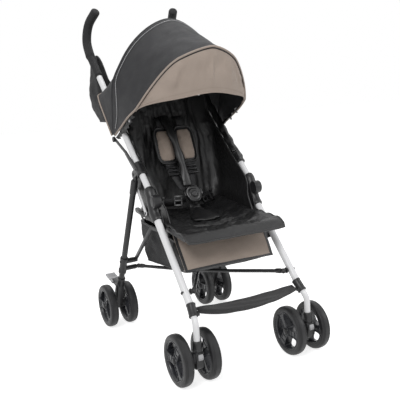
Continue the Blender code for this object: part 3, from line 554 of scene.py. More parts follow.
def new_piece(name, verts, faces, mark=None):
    """An object in the row frame, faces turned outwards; mark may write to its bmesh."""
    mesh = bpy.data.meshes.new(name)
    mesh.from_pydata([(x, y + SHIFT, z) for x, y, z in verts], [], faces)
    bm = bmesh.new()
    bm.from_mesh(mesh)
    bmesh.ops.recalc_face_normals(bm, faces=bm.faces)
    if mark:
        mark(bm)
    bm.to_mesh(mesh)
    bm.free()
    piece = bpy.data.objects.new(name, mesh)
    bpy.context.scene.collection.objects.link(piece)
    return piece


def lay_flat(bm, uv):
    """Cloth coordinates in metres: uv for each vertex, or else the two axes that each face lies along."""
    layer = bm.loops.layers.uv.new("cloth")
    for face in bm.faces:
        wide = max(range(3), key=lambda k: abs(face.normal[k]))
        first, second = ((1, 2), (0, 2), (0, 1))[wide]
        for loop in face.loops:
            place = loop.vert.co
            loop[layer].uv = uv[loop.vert.index] if uv else (place[first], place[second])


def dress(piece, skin):
    piece.data.materials.clear()
    piece.data.materials.append(SKINS[skin].made)
    piece.data.shade_smooth()


def squash(piece, keep):
    """Gives a piece a mesh of its own; keep is not used."""
    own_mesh(piece)


def make(name, shape, skin, body, nodes=(), bevel=0.0, smooth=35, fold=None, thick=0.0, subdivide=0, uv=None):
    """One piece: its mesh, finish, body and the nodes that it stands for; a fold share gives it a mesh of its
    own.
    """
    piece = new_piece(name, *shape, lambda bm: lay_flat(bm, uv))
    if thick:
        step = piece.modifiers.new("thickness", "SOLIDIFY")
        step.thickness = thick
        step.offset = 0.0
    if bevel:
        step = piece.modifiers.new("edges", "BEVEL")
        step.width = bevel
        step.segments = 2
        step.limit_method = "ANGLE"
        step.angle_limit = math.radians(40)
    if subdivide:
        step = piece.modifiers.new("soft", "SUBSURF")
        step.levels = subdivide
        step.render_levels = subdivide
    bake(piece)
    dress(piece, skin)
    piece.data.set_sharp_from_angle(angle=math.radians(smooth))
    return settle(piece, skin, body, nodes, fold)


def bake(piece):
    if piece.modifiers:
        graph = bpy.context.evaluated_depsgraph_get()
        mesh = bpy.data.meshes.new_from_object(piece.evaluated_get(graph))
        piece.modifiers.clear()
        piece.data = mesh


def settle(piece, skin, body, nodes=(), fold=None):
    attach(piece, body)
    if nodes:
        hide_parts(*nodes)
    if fold:
        squash(piece, fold)
    return piece


def stitches(path, length=0.003, gap=0.0022, radius=0.00045):
    """Short threads along a path."""
    path = [Vector(p) for p in path]
    marks = [0.0]
    for a, b in zip(path, path[1:]):
        marks.append(marks[-1] + (b - a).length)

    def at(run):
        index = min(bisect.bisect_right(marks, run), len(marks) - 1)
        low, high = marks[index - 1], marks[index]
        return mix(path[index - 1], path[index], (run - low) / max(high - low, 1e-9))

    parts = []
    run = 0.0
    while run + length <= marks[-1]:
        parts.append(sweep([at(run), at(run + length)], radius, 6, radius * 0.6))
        run += length + gap
    return join(*parts)


def cloth(name, surface, count, flat, skin, body="seat", nodes=(), fold=FOLD_KEEP, thick=0.0014):
    """A sheet on a surface; count is its columns and rows, flat the size that its weave goes by."""
    return soft(name, grid(surface, *count), skin, body, nodes, fold, thick, flat_uv(*count, *flat))


def cord(path, radius):
    """A hem, piping or bow along a path."""
    return sweep(path, radius, 10, 0.001)


def turned(profile, side, x, place, sides):
    """A turned shape on an axis along X, outwards from x."""
    return lathe(profile, (side * x, *place), (side, 0, 0), sides)


def wander(x, y, z, size, seed=0.0):
    """Smooth noise from -1 to 1 with features of that size."""
    return noise.noise(Vector((x / size + seed, y / size + seed * 1.7, z / size - seed)))


# Wheels


def wheel_ring(profile, sides):
    """A wheel part turned about X; profile is (share of the tyre's half width, radius) from one face in."""
    half = TYRE_WIDTH / 2
    shares = [(half * share, radius) for share, radius in profile]
    return lathe(both_ends(shares), (0, 0, 0), (1, 0, 0), sides, closed=True)


def tyre_shape():
    crown = [
        (0.86, 0.0562), (0.96, 0.0572), (1.00, 0.0600), (0.99, 0.0640), (0.93, 0.0674),
        (0.83, 0.0697), (0.75, 0.0706), (0.73, 0.0699), (0.69, 0.0699), (0.67, 0.0711),
        (0.52, 0.0719), (0.50, 0.0712), (0.46, 0.0712), (0.44, 0.0722), (0.20, 0.0727),
    ]
    return wheel_ring(crown, 88)


def rim_shape():
    """Ring, hub and three spokes, each spoke two rails with a web, two cross ribs and outer plates."""
    half = TYRE_WIDTH / 2
    ring = [
        (0.84, 0.0566), (0.98, 0.0563), (1.01, 0.0556), (1.00, 0.0546),
        (0.88, 0.0541), (0.80, 0.0522), (0.60, 0.0506), (0.10, 0.0498),
    ]
    hub = [
        (0.93, 0.0046), (0.93, 0.0088), (0.86, 0.0094), (0.80, 0.0096),
        (0.80, 0.0116), (0.92, 0.0121), (0.90, 0.0132), (0.40, 0.0140),
    ]
    rail = ((0.0088, 0.010), (0.0094, 0.020), (0.0100, 0.032), (0.0112, 0.042),
            (0.0138, 0.0485), (0.0190, 0.0505))
    parts = [wheel_ring(ring, 72), wheel_ring(hub, 32)]
    for turn in range(3):
        spin = Matrix.Rotation(2 * math.pi * turn / 3, 3, "X")
        outlines = []
        for way in (1, -1):
            path = smooth_path([spin @ Vector((0, way * y, z)) for y, z in rail], 3)
            parts.append(ribbon(path, (1, 0, 0), TYRE_WIDTH * 0.94, 0.0030, 0.4))
            outlines.append(path)
        outline = outlines[0] + outlines[1][::-1]
        for web in ((-0.0110, -0.0080), (0.0080, 0.0110)):
            parts.append(loft([[Vector((x, p.y, p.z)) for p in outline] for x in web]))
        for middle, height in ((0.0225, 0.0024), (0.0400, 0.0020)):
            low = (-half * 0.86, -0.0090, middle - height / 2)
            verts, faces = box(low, (half * 0.86, 0.0090, middle + height / 2))
            parts.append(([spin @ v for v in verts], faces))
    return join(*parts)


def hub_cap_shape():
    dome = [
        (0.0, 0.0060), (0.0, 0.0086), (0.0016, 0.0084), (0.0034, 0.0070), (0.0046, 0.0044), (0.0050, 0.0010),
    ]
    face = TYRE_WIDTH / 2 - 0.0006
    return join(*(turned(dome, way, face, (0, 0), 24) for way in (1, -1)))


def make_wheels():
    meshes = []
    for part, skin, shape in (
        ("tyre", "tyre_foam", tyre_shape()),
        ("rim", "wheel_rim", rim_shape()),
        ("cap", "moulded_black", hub_cap_shape()),
    ):
        template = make("wheel_template", shape, skin, "seat", smooth=30)
        mesh = template.data
        mesh.transform(Matrix.Translation((0, -SHIFT, 0)))
        bpy.data.objects.remove(template)
        meshes.append((part, skin, mesh))
    for end, centre, gap, axle_y in (
        ("front", FRONT_WHEEL_X, FRONT_WHEEL_GAP, FRONT_AXLE_Y),
        ("rear", REAR_WHEEL_X, REAR_WHEEL_GAP, REAR_AXLE_Y),
    ):
        for word, side in SIDES:
            for place, way in (("outer", 1), ("inner", -1)):
                node = f"wheel_{end}_{word}_{place}"
                x = side * (centre + way * (gap + TYRE_WIDTH) / 2)
                for part, skin, mesh in meshes:
                    wheel = bpy.data.objects.new(f"{node}_{part}", mesh)
                    wheel.location = (x, axle_y + SHIFT, WHEEL_RADIUS)
                    wheel.rotation_euler = (side * math.pi / 2, 0, 0)
                    bpy.context.scene.collection.objects.link(wheel)
                    settle(wheel, skin, node, [node] if part == "tyre" else ())
            make_axle(end, word, side * centre, axle_y, gap / 2 + TYRE_WIDTH)


def make_axle(end, word, centre, axle_y, half_length):
    cap = 0.0064
    profile = [
        (half_length + 0.0034, 0.0010), (half_length + 0.0030, cap * 0.45), (half_length + 0.0022, cap * 0.8),
        (half_length + 0.0012, cap), (half_length + 0.0004, cap), (half_length + 0.0003, AXLE_RADIUS),
    ]
    shape = lathe(both_ends(profile), (centre, axle_y, WHEEL_RADIUS), (1, 0, 0), 24)
    body = f"caster_{word}" if end == "front" else f"rear_leg_{word}"
    hard(f"axle_{end}_{word}", "pin", [shape], body, skin="steel", smooth=50)


# Side frames


def barrel(side, x, axle, half, barrel_half, waist):
    """The moulding round an axle between two wheels, waisted beside its plate."""
    profile = [
        (-barrel_half, 0.0060), (-barrel_half, 0.0128), (-barrel_half + 0.0012, 0.0144),
        (-half - 0.0020, 0.0144), (-half - 0.0010, waist),
    ]
    return turned(both_ends(profile), side, x, axle, 32)


def bend_path(low, corner, high, radius, steps=10):
    """Two straight runs joined by an arc of that radius."""
    low, corner, high = Vector(low), Vector(corner), Vector(high)
    before = (low - corner).normalized()
    after = (high - corner).normalized()
    half = before.angle(after) / 2
    start = corner + before * (radius / math.tan(half))
    centre = corner + (before + after).normalized() * (radius / math.sin(half))
    normal = before.cross(after).normalized()
    turn = math.pi - 2 * half
    arc = []
    for i in range(steps + 1):
        arc.append(centre + Matrix.Rotation(-turn * i / steps, 3, normal) @ (start - centre))
    return [low] + arc + [high]


def leg_path(side):
    run = (Vector(LEG_HIGH) - Vector(LEG_LOW)).normalized()
    corner_z = LEG_LOW[1] + (SWIVEL_Y - LEG_LOW[0]) * run.y / run.x
    foot = (side * FRONT_WHEEL_X, SWIVEL_Y)
    path = bend_path((*foot, LEG_FOOT_Z + 0.0004), (*foot, corner_z), on_leg(side, 0.0), 0.035)
    return path[:-1] + [on_leg(side, 0.012), on_leg(side, 0.311)]


def banded(start, end, stations, sides=32):
    """A sleeve on the line from start to end; stations are (distance from start, radius)."""
    start, end = Vector(start), Vector(end)
    return lathe(stations, start, end - start, sides)


def make_leg(word, side):
    body = f"frame_{word}"
    path = leg_path(side)
    low, high = (mix(path[-3], path[-2], share) for share in COLLAR_SPAN)
    middle = mix(low, high, 0.5)
    lower = sweep(path[:-2] + [middle], FOOT_TUBE_RADIUS, 36)
    upper = sweep([middle, path[-1]], LEG_TUBE_RADIUS, 36)
    hard(f"front_leg_{word}", "tube", [lower, upper], body, skin="white_paint")

    length = (high - low).length
    waist, ridge = 0.0124, 0.0133
    sleeve = [
        (0.0, 0.0092), (0.0, waist), (0.0008, ridge), (0.0045, ridge), (0.0055, waist),
        (length - 0.0055, waist), (length - 0.0045, ridge), (length - 0.0008, ridge), (length, waist),
        (length, 0.0106),
    ]
    lug = mix(low, high, 0.22) + Vector((-side * 0.0125, -0.002, 0))
    lug_half = Vector((0.0035, 0.007, 0.0050))
    parts = [banded(low, high, sleeve), box(lug - lug_half, lug + lug_half)]
    hard(f"strap_collar_{word}", "sleeve", parts, body, 0.0008)

    bolt = leg_point(LOWER_BALL_D)
    outside = FRAME_X + LEG_RADIUS
    cup = [(0.0, 0.0045), (0.0, 0.0082), (0.0010, 0.0087), (0.0034, 0.0087), (0.0042, 0.0078)]
    parts = [
        turned(cup, side, LOWER_BALL_X + BALL_RADIUS + 0.0002, bolt, 24),
        stud(side, bolt, outside - 0.0002, 0.0066, 0.0030),
        turned([(0.0, 0.0076), (0.0020, 0.0076)], side, outside - 0.0016, bolt, 24),
        turned([(0.0, 0.004), (0.030, 0.004)], side, 0.158, bolt, 16),
    ]
    hard(f"brace_bolt_{word}", "fitting", parts, body)

    heads = []
    rear = Vector((0.740, -0.6725))
    rivet = [(0.0, 0.0042), (0.0016, 0.0042), (0.0030, 0.0034), (0.0036, 0.0018)]
    for distance in (0.222, 0.246):
        base = leg_point(distance) + rear * (LEG_TUBE_RADIUS - 0.0012)
        heads.append(lathe(rivet, (side * (FRAME_X + 0.002), *base), (side * 0.35, *rear), 16))
    make(f"leg_rivets_{word}", join(*heads), "moulded_black", body)


def make_caster(word, side):
    x = FRONT_WHEEL_X
    foot = (side * x, SWIVEL_Y)
    socket = [
        (0.1006, 0.0050), (0.1006, 0.0128), (0.1012, 0.0138), (0.1030, 0.0144), (0.1070, 0.0145),
        (0.1078, 0.0138), (0.1200, 0.0130), (0.1206, 0.0136), (0.1262, 0.0134), (0.1286, 0.0126),
        (0.1300, 0.0112), (0.1300, 0.0088),
    ]
    shape = lathe(socket, (*foot, 0.0), (0, 0, 1), 36)
    hard(f"caster_socket_{word}", "cap", [shape], f"frame_{word}")

    half = FORK_HALF_WIDTH
    axle = (FRONT_AXLE_Y, WHEEL_RADIUS)
    core = [(axle, 0.0140), ((SWIVEL_Y, 0.084), 0.0158), ((SWIVEL_Y, 0.064), 0.0135)]
    collar = [(0.0700, 0.0120), (0.0720, 0.0150), (0.0960, 0.0152), (0.0994, 0.0140), (0.0999, 0.0118)]
    parts = [
        bar(core, side * (x - half + 0.004), side * (x + half - 0.004), 32),
        lathe(collar, (*foot, 0.0), (0, 0, 1), 36),
        barrel(side, x, axle, half, FRONT_WHEEL_GAP / 2 - 0.0022, 0.0130),
    ]
    for way in (1, -1):
        face = x + way * half
        wing = [(axle, 0.0155), ((-0.262, 0.082), 0.0150)]
        parts.append(bar(wing, side * (face - way * 0.0045), side * face, 28))
        rib = [((-0.266, 0.083), 0.0062), ((SWIVEL_Y, 0.086), 0.0062)]
        parts.append(bar(rib, side * (face - way * 0.006), side * (face - way * 0.0012), 20))
    hard(f"caster_fork_{word}", "body", parts, f"caster_{word}", 0.0012)

    front = SWIVEL_Y - 0.0163
    centre = side * x
    lever = []
    for height, deep, wide in (
        (0.0800, 0.0022, 0.0064), (0.0830, 0.0048, 0.0075), (0.0868, 0.0052, 0.0076),
        (0.0925, 0.0034, 0.0074), (0.0963, 0.0016, 0.0066),
    ):
        narrow = wide * 0.86
        corners = ((-wide, 0.0), (wide, 0.0), (narrow, deep), (-narrow, deep))
        lever.append([Vector((centre + reach, front - forward, height)) for reach, forward in corners])
    parts = [loft(lever)]
    for height in (0.0838, 0.0856, 0.0874):
        low = (centre - 0.0052, front - 0.0058, height)
        parts.append(box(low, (centre + 0.0052, front - 0.0042, height + 0.0008)))
    hard(f"swivel_lock_{word}", "tab", parts, f"swivel_lock_{word}", 0.0005, "moulded_grey")


def make_housing(word, side):
    """The sleeve between leg and upper tube, its round boss with a ringed cap, ribs and the rail's pin."""
    marks = [leg_point(0.273), leg_point(0.300), (-0.033, 0.468), upper_point(-0.016), upper_point(0.0)]
    path = smooth_path([on_side(side, FRAME_X, p) for p in marks], 6)
    count = len(path)
    radii = []
    for i in range(count):
        radii.append(mix(0.0153, 0.0150, i / count) + 0.0010 * math.sin(math.pi * i / (count - 1)))
    radii[0], radii[1] = 0.0148, 0.0160
    radii[-1], radii[-2] = 0.0144, 0.0156
    boss = (-0.055, 0.4775)
    dome = [
        (-0.0120, 0.0150), (-0.0120, 0.0182), (-0.0108, 0.0194), (0.0082, 0.0196), (0.0102, 0.0190),
        (0.0112, 0.0176), (0.0106, 0.0164), (0.0106, 0.0152), (0.0122, 0.0140), (0.0130, 0.0100),
        (0.0134, 0.0050), (0.0135, 0.0010),
    ]
    lug_low = FRAME_X - LEG_RADIUS - 0.0005
    parts = [
        sweep(path, radii, 36, 0.0010),
        bar([(boss, 0.0120), ((-0.033, 0.468), 0.0150)], *span(side, FRAME_X, 0.008), 28),
        turned(dome, side, FRAME_X, boss, 40),
        bar([((-0.047, 0.440), 0.012), (RAIL_PIVOT, 0.009)], side * (lug_low - 0.0038), side * lug_low),
        turned([(0.0, 0.004), (0.018, 0.004)], side, 0.1435, RAIL_PIVOT, 20),
    ]
    rib = [(-0.0012, 0.0150), (-0.0006, 0.0164), (0.0006, 0.0164), (0.0012, 0.0150)]
    way = on_upper(side, 0.0) - on_upper(side, -0.01)
    for distance in (0.006, 0.012):
        parts.append(lathe(rib, on_upper(side, -distance - 0.002), way, 32))
    hard(f"side_housing_{word}", "shell", parts, f"frame_{word}", 0.0007)


def make_upper(word, side):
    body = f"frame_{word}"
    path = [on_upper(side, distance) for distance in (-0.022, 0.25, 0.558)]
    hard(f"upper_tube_{word}", "tube", [sweep(path, UPPER_RADIUS, 32)], body, skin="white_paint")

    marks = [on_upper(side, 0.487), on_upper(side, 0.560)]
    for x, y, z in (
        (0.1710, 0.4180, 0.9270), (0.1670, 0.4520, 0.9780),
        (0.1580, 0.4430, 1.0320), (0.1440, 0.3950, 1.0720),
    ):
        marks.append(Vector((side * x, y, z)))
    path = smooth_path(marks, 10)
    radii = []
    for i in range(len(path)):
        radii.append(mix(0.0126, 0.0154, ease(i / 5, 3.4, 4.1)))
    for i, swell in ((0, -0.0012), (1, 0.0006), (2, 0.0002), (18, 0.0010), (19, 0.0012), (20, 0.0006)):
        radii[i] += swell
    grip = sweep(path, radii, 32, 0.0058)
    hard(f"handle_grip_{word}", "foam", [grip], body, skin="grip_foam", smooth=60)


def make_clamp(word, side):
    sleeve = [
        (0.0, 0.0100), (0.0, 0.0138), (0.0010, 0.0152), (0.0050, 0.0152), (0.0060, 0.0145), (0.0370, 0.0145),
        (0.0380, 0.0153), (0.0440, 0.0153), (0.0450, 0.0138), (0.0450, 0.0100),
    ]
    parts = [banded(on_upper(side, 0.055), on_upper(side, 0.100), sleeve)]
    root = upper_point(0.080)
    cheek = [(root, 0.0125), (LEG_PIVOT, 0.0115)]
    for near, far in ((0.0042, 0.0082), (-0.0082, -0.0042)):
        parts.append(bar(cheek, side * (FRAME_X + near), side * (FRAME_X + far), 28))
    for way in (1, -1):
        parts.append(stud(side, LEG_PIVOT, FRAME_X + way * 0.0081, 0.0062, way * 0.0022))
    bend = (0.120, 0.612)
    arm = (root, (0.098, 0.596), bend, (0.160, 0.630), CANOPY_HINGE)
    line = smooth_path([(side * 0.1845, *p) for p in arm], 6)
    parts.append(ribbon(line, upright(line), 0.0145, 0.0040, 0.8))
    parts.append(bar([(root, 0.0105), (bend, 0.0072)], side * 0.1828, side * 0.1862, 24))
    parts.append(stud(side, root, 0.1862, 0.0050, 0.0018))
    hard(f"leg_clamp_{word}", "shell", parts, f"frame_{word}", 0.0006)


def make_rear_leg(word, side):
    body = f"rear_leg_{word}"

    def spot(distance):
        return on_side(side, rear_leg_x(distance), rear_leg_point(distance))

    def stub(distance, x_low, radius):
        return sweep([on_side(side, x_low, rear_leg_point(distance)), spot(distance)], radius, 24, 0.0008)

    end = rear_leg_run().length - WHEEL_RADIUS - 0.008
    tube = sweep([spot(0.026), spot(0.2), spot(end)], REAR_LEG_RADIUS, 32)
    hard(body, "tube", [tube], body, skin="black_paint")

    neck = [
        (0.0, 0.0060), (0.002, 0.0100), (0.006, 0.0112), (0.048, 0.0112), (0.051, 0.0104), (0.052, 0.0094),
    ]
    low, high = STRUT_HINGE_S - 0.016, BRACE_SOCKET_S + 0.016
    length = high - low
    ring = REAR_LEG_RADIUS + 0.0038
    bands = [
        (0.0, 0.0096), (0.0, ring - 0.0010), (0.0008, ring), (0.010, ring), (0.0108, ring - 0.0012),
        (length - 0.0108, ring - 0.0012), (length - 0.010, ring), (length - 0.0008, ring),
        (length, ring - 0.0010), (length, 0.0096),
    ]
    parts = [
        bar([(LEG_PIVOT, 0.0110), (rear_leg_point(0.034), 0.0095)], *span(side, FRAME_X, 0.0037), 28),
        banded(spot(0.020), spot(0.072), neck),
        banded(spot(low), spot(high), bands),
        stub(STRUT_HINGE_S, STRUT_X + 0.0049, 0.009),
        stub(STRUT_HINGE_S, STRUT_X - 0.0058, 0.004),
        stub(BRACE_SOCKET_S, LOWER_END_X + BALL_RADIUS + 0.0004, 0.008),
        stub(LINK_TOP_S, LINK_X - 0.0026, 0.004),
    ]
    for distance in (STRUT_HINGE_S, BRACE_SOCKET_S):
        face = rear_leg_x(distance) + ring - 0.0012
        parts.append(stud(side, rear_leg_point(distance), face, 0.0052, 0.0022))
    make(f"{body}_brackets", join(*parts), "moulded_black", body, bevel=0.0007)

    x = REAR_WHEEL_X
    half = REAR_PLATE_HALF_WIDTH
    axle = (REAR_AXLE_Y, WHEEL_RADIUS)
    wall = REAR_LEG_RADIUS + 0.0039
    socket = [
        (0.0, 0.0098), (0.0, wall - 0.0010), (0.0010, wall), (0.0052, wall), (0.0060, wall - 0.0008),
        (0.0380, wall - 0.0008), (0.0420, wall - 0.0030),
    ]
    arm = [(rear_leg_point(end - 0.004), 0.0090), (BRAKE_PIVOT, 0.0080)]
    rib = [(axle, 0.0110), (rear_leg_point(end + 0.012), 0.0070)]
    parts = [
        banded(spot(end - 0.036), spot(end + 0.006), socket),
        bar([(axle, 0.0155), (rear_leg_point(end + 0.002), 0.0125)], *span(side, x, half), 32),
        bar(arm, side * (x - half + 0.001), side * (x + half - 0.001), 24),
        bar(rib, side * (x - half - 0.0008), side * (x + half + 0.0008), 28),
        barrel(side, x, axle, half, REAR_WHEEL_GAP / 2 - 0.0013, 0.0132),
    ]
    hard(f"rear_housing_{word}", "shell", parts, body, 0.0009)


def make_pedal(word, side):
    """A ribbed tread between two cheeks, turning on its pin."""
    x = REAR_WHEEL_X
    half = REAR_PLATE_HALF_WIDTH
    lift = math.radians(12)
    way = Vector((math.cos(lift), math.sin(lift)))
    up = Vector((-way.y, way.x))
    pivot = Vector(BRAKE_PIVOT)
    start, finish = pivot + way * 0.0210, pivot + way * 0.0565
    parts = [bar([(start, 0.0038), (finish, 0.0042)], *span(side, x, 0.0165), 20)]
    for share in (0.25, 0.42, 0.59, 0.76):
        place = mix(start, finish, share) + up * 0.0038
        parts.append(bar([(place, 0.0011)], *span(side, x, 0.0135), 10))
    for near, far in ((half + 0.0004, half + 0.0042), (-half - 0.0042, -half - 0.0004)):
        parts.append(bar([(pivot, 0.0066), (start, 0.0046)], side * (x + near), side * (x + far), 24))
    parts.append(turned([(0.0, 0.003), (2 * half + 0.010, 0.003)], side, x - half - 0.005, pivot, 16))
    hard(f"brake_pedal_{word}", "lever", parts, f"brake_{word}", 0.0009, "moulded_grey")


def upright(path):
    """The width direction of a flat bar along a path beside the stroller, its thickness along X."""
    return [tangent.cross(Vector((1, 0, 0))) for tangent, _, _ in frames(path)]


def make_linkage(word, side):
    x = RAIL_X
    front, rear = Vector(RAIL_FRONT), Vector(RAIL_REAR)
    parts = [
        bar([(RAIL_REAR, 0.0080), (RAIL_FRONT, 0.0080)], *span(side, x, 0.0050), 28),
        bar([(mix(front, rear, 0.04), 0.0045), (mix(front, rear, 0.96), 0.0045)], *span(side, x, 0.0056), 20),
    ]
    for place in (RAIL_REAR, RAIL_FRONT, RAIL_PIVOT):
        parts.append(stud(side, place, x - 0.0052, 0.0050, -0.0018))
    hard(f"seat_rail_{word}", "bar", parts, f"seat_rail_{word}", 0.0010, "black_paint")

    x = STRUT_X
    marks = [rear_leg_point(STRUT_HINGE_S), STRUT_BEND, STRUT_END]
    rounded_path = bend_path(*(on_side(side, x, p) for p in marks), 0.014, 8)
    parts = [ribbon(rounded_path, upright(rounded_path), 0.0152, 0.0085, 0.30)]
    for place in (marks[0], marks[2]):
        parts.append(bar([(place, 0.0084)], *span(side, x, 0.0044), 28))
        parts.append(stud(side, place, x - 0.0043, 0.0046, -0.0018))
    hard(f"side_strut_{word}", "bar", parts, f"side_strut_{word}", 0.0010, "black_paint")

    x = LINK_X
    node = f"lock_link_{word}"
    top, low = rear_leg_point(LINK_TOP_S), Vector(LINK_END)
    parts = [
        bar([(top, 0.0075), (LINK_END, 0.0075)], *span(side, x, 0.0015), 28),
        bar([(mix(top, low, 0.14), 0.0032), (mix(top, low, 0.86), 0.0032)], *span(side, x, 0.0021), 20),
    ]
    hard(node, "bar", parts, node, 0.0006, "white_paint")
    heads = []
    for place in (top, LINK_END):
        for way in (1, -1):
            heads.append(stud(side, place, x + way * 0.0014, 0.0048, way * 0.0014))
    make(f"{node}_rivets", join(*heads), "moulded_black", node)


def make_braces():
    ball = []
    for i in range(1, 12):
        turn = math.pi * i / 12
        ball.append((-BALL_RADIUS * math.cos(turn), BALL_RADIUS * math.sin(turn)))
    neck = [(0.0060, 0.0050), (0.0075, 0.0074), (0.0120, 0.0078), (0.0240, 0.0070), (0.0265, 0.0056)]
    for word, side in SIDES:
        first = on_side(side, LOWER_BALL_X, leg_point(LOWER_BALL_D))
        last = on_side(-side, LOWER_END_X, rear_leg_point(BRACE_SOCKET_S))
        crossing = mix(first, last, LOWER_BALL_X / (LOWER_BALL_X + LOWER_END_X))
        crossing.z -= side * (LOWER_BRACE_RADIUS + 0.002)
        run = (last - first).normalized()
        path = smooth_path([first + run * 0.003, crossing, last - run * 0.003], 8)
        parts = [sweep(path, LOWER_BRACE_RADIUS, 24)]
        for place, way in ((first, run), (last, -run)):
            parts.append(lathe(ball, place, way, 24))
            parts.append(lathe(neck, place, way, 24))
        hard(f"lower_brace_{word}", "bar", parts, f"lower_brace_{word}", skin="black_paint")


# Canopy


def canopy_bow(bow, across, widen=0.0):
    """A point on a bow: straight up both sides from the hinge, then over in a flat arch."""
    angle, straight, height, roundness = bow
    share = abs(across)
    if share > CANOPY_SHOULDER:
        side = 1.0
        radius = straight * (1 - share) / (1 - CANOPY_SHOULDER)
    else:
        turn = share / CANOPY_SHOULDER * math.pi / 2
        side = math.sin(turn) ** (2 / roundness)
        radius = straight + height * math.cos(turn) ** (2 / roundness)
    half_width = CANOPY_HALF_WIDTH - CANOPY_TAPER * ease(radius, 0.15, 0.25) + widen
    radius += widen
    y = CANOPY_HINGE[0] - radius * math.cos(angle)
    z = CANOPY_HINGE[1] + radius * math.sin(angle)
    return Vector((math.copysign(half_width * side, across), y, z))


def front_line(across, up):
    drop = ease(abs(across), SEAM_DROP[0], SEAM_DROP[1])
    angle = mix(FRONT_BOW[0], VISOR_BOW[0] + VISOR_LIFT, drop) + up
    return (angle, mix(FRONT_BOW[1], VISOR_BOW[1], drop), mix(FRONT_BOW[2], VISOR_BOW[2], drop), FRONT_BOW[3])


def rear_gore(across, up):
    across = across * 0.965
    up = mix(-0.035, 1.0, up)
    point = mix(canopy_bow(MIDDLE_BOW, across), canopy_bow(REAR_BOW, across), max(up, 0.0))
    if up < 0:
        point = mix(canopy_bow(MIDDLE_BOW, across), canopy_bow(front_line(across, 0.0), across), -up)
    crown = 1 - ease(abs(across), 0.25, 0.8)
    sag = math.sin(math.pi * max(up, 0.0))
    point.z -= 0.008 * sag * crown
    pull = 0.0022 * wander(across * 0.3, up * 0.1, 0, 0.05, 3.1) * sag
    point.x += math.copysign(pull, across)
    return point


def front_gore(across, up):
    across = across * 0.965
    front = canopy_bow(front_line(across, 0.0), across, GORE_LAP)
    point = mix(front, canopy_bow(MIDDLE_BOW, across, GORE_LAP), up)
    crown = 1 - ease(abs(across), 0.3, 0.85)
    sag = math.sin(math.pi * up)
    point.z -= 0.005 * sag * crown
    point.x -= math.copysign(0.002, across) * sag * ease(abs(across), 0.35, 0.6)
    ripple = wander(across * 0.35, up * 0.25, 0, 0.07, 1.3) * 0.0022 * sag
    ripple += wander(across * 0.6, up * 0.2, 0, 0.028, 4.7) * 0.0010 * sag
    point.y -= ripple
    point.z += ripple
    return point


def visor(across, up):
    across = across * (SEAM_DROP[1] - 0.015)
    lift = VISOR_LIFT * ease(abs(across), 0.2, CANOPY_SHOULDER)
    edge = canopy_bow((VISOR_BOW[0] + lift, *VISOR_BOW[1:]), across)
    top_line = front_line(across, -0.012)
    top = canopy_bow(top_line, across)
    point = mix(edge, top, up)
    middle = 1 - ease(abs(across), 0.46, 0.64)
    belly = math.sin(math.pi * up)
    gather = math.sin(across * 40 + 4 * wander(across, 0, 0, 0.11, 5.0))
    gather *= 0.3 + 1.2 * abs(wander(across * 1.5, 0, 0, 0.16, 3.4))
    gather += 1.3 * wander(across * 2.0, up * 0.2, 0, 0.09, 7.7)
    height = 0.0072 * gather * ease(up, 0.05, 0.8) * math.sqrt(max(1 - up, 0.0)) * 1.5
    height += 0.0070 * wander(across * 1.1, up * 0.22, 0, 0.10, 2.9) * belly
    point.y -= (0.004 * belly + height) * middle
    point.z += 0.003 * belly * middle
    return point


def hard(node, ending, parts, body, bevel=0.0, skin="moulded_black", smooth=35):
    """A hard piece that stands for a whole node."""
    return make(f"{node}_{ending}", join(*parts), skin, body, [node], bevel, smooth)


def soft(name, shape, skin, body="seat", nodes=(), fold=FOLD_KEEP, thick=0.0, uv=None):
    """A soft piece without sharp edges."""
    return make(name, shape, skin, body, nodes, smooth=60, fold=fold, thick=thick, uv=uv)


def flat_uv(columns, rows, width, length):
    uv = []
    for j in range(rows + 1):
        for i in range(columns + 1):
            uv.append((width * i / columns, length * j / rows))
    return uv


def edge_line(surface, up, reach=1.0, count=90):
    """Points across a canopy surface at one height, as far to both sides as reach."""
    return [surface(across, up) for across in even_steps(-reach, reach, count)]


def proud(surface, across, up, amount):
    """A point that stands amount outside a canopy surface."""
    point = surface(across, up)
    along = surface(across + 0.004, up) - surface(across - 0.004, up)
    over = surface(across, up + 0.004) - surface(across, up - 0.004)
    normal = along.cross(over).normalized()
    away = Vector((2.0 * point.x, point.y - CANOPY_HINGE[0], point.z - CANOPY_HINGE[1]))
    return point + normal * math.copysign(amount, normal.dot(away))


def outward(points, amount):
    """Moves canopy points away from the hinge line by amount."""
    moved = []
    for p in points:
        way = Vector((0.35 * p.x, p.y - CANOPY_HINGE[0], p.z - CANOPY_HINGE[1]))
        moved.append(p + way.normalized() * amount)
    return moved


def side_curtain(side):
    """The crumpled black cloth that hangs inside the canopy's lower side edge."""
    def surface(across, up):
        along = (across + 1) / 2
        across = side * mix(0.700, 0.985, along)
        point = canopy_bow(front_line(across, 0.0), across)
        drop = 0.020 * math.sin(math.pi * min(along * 0.9 + 0.05, 1.0)) ** 0.7
        crumple = 0.0035 * math.sin(along * 44 + 2 * up)
        crumple += 0.004 * wander(along * 0.2, up * 0.03, side, 0.02, 3.9)
        point.x -= side * (0.0050 + (0.0070 + crumple) * up)
        point.y += drop * up * 0.45
        point.z -= drop * up * (1 + 0.12 * math.sin(along * 31)) - 0.002
        return point
    return surface


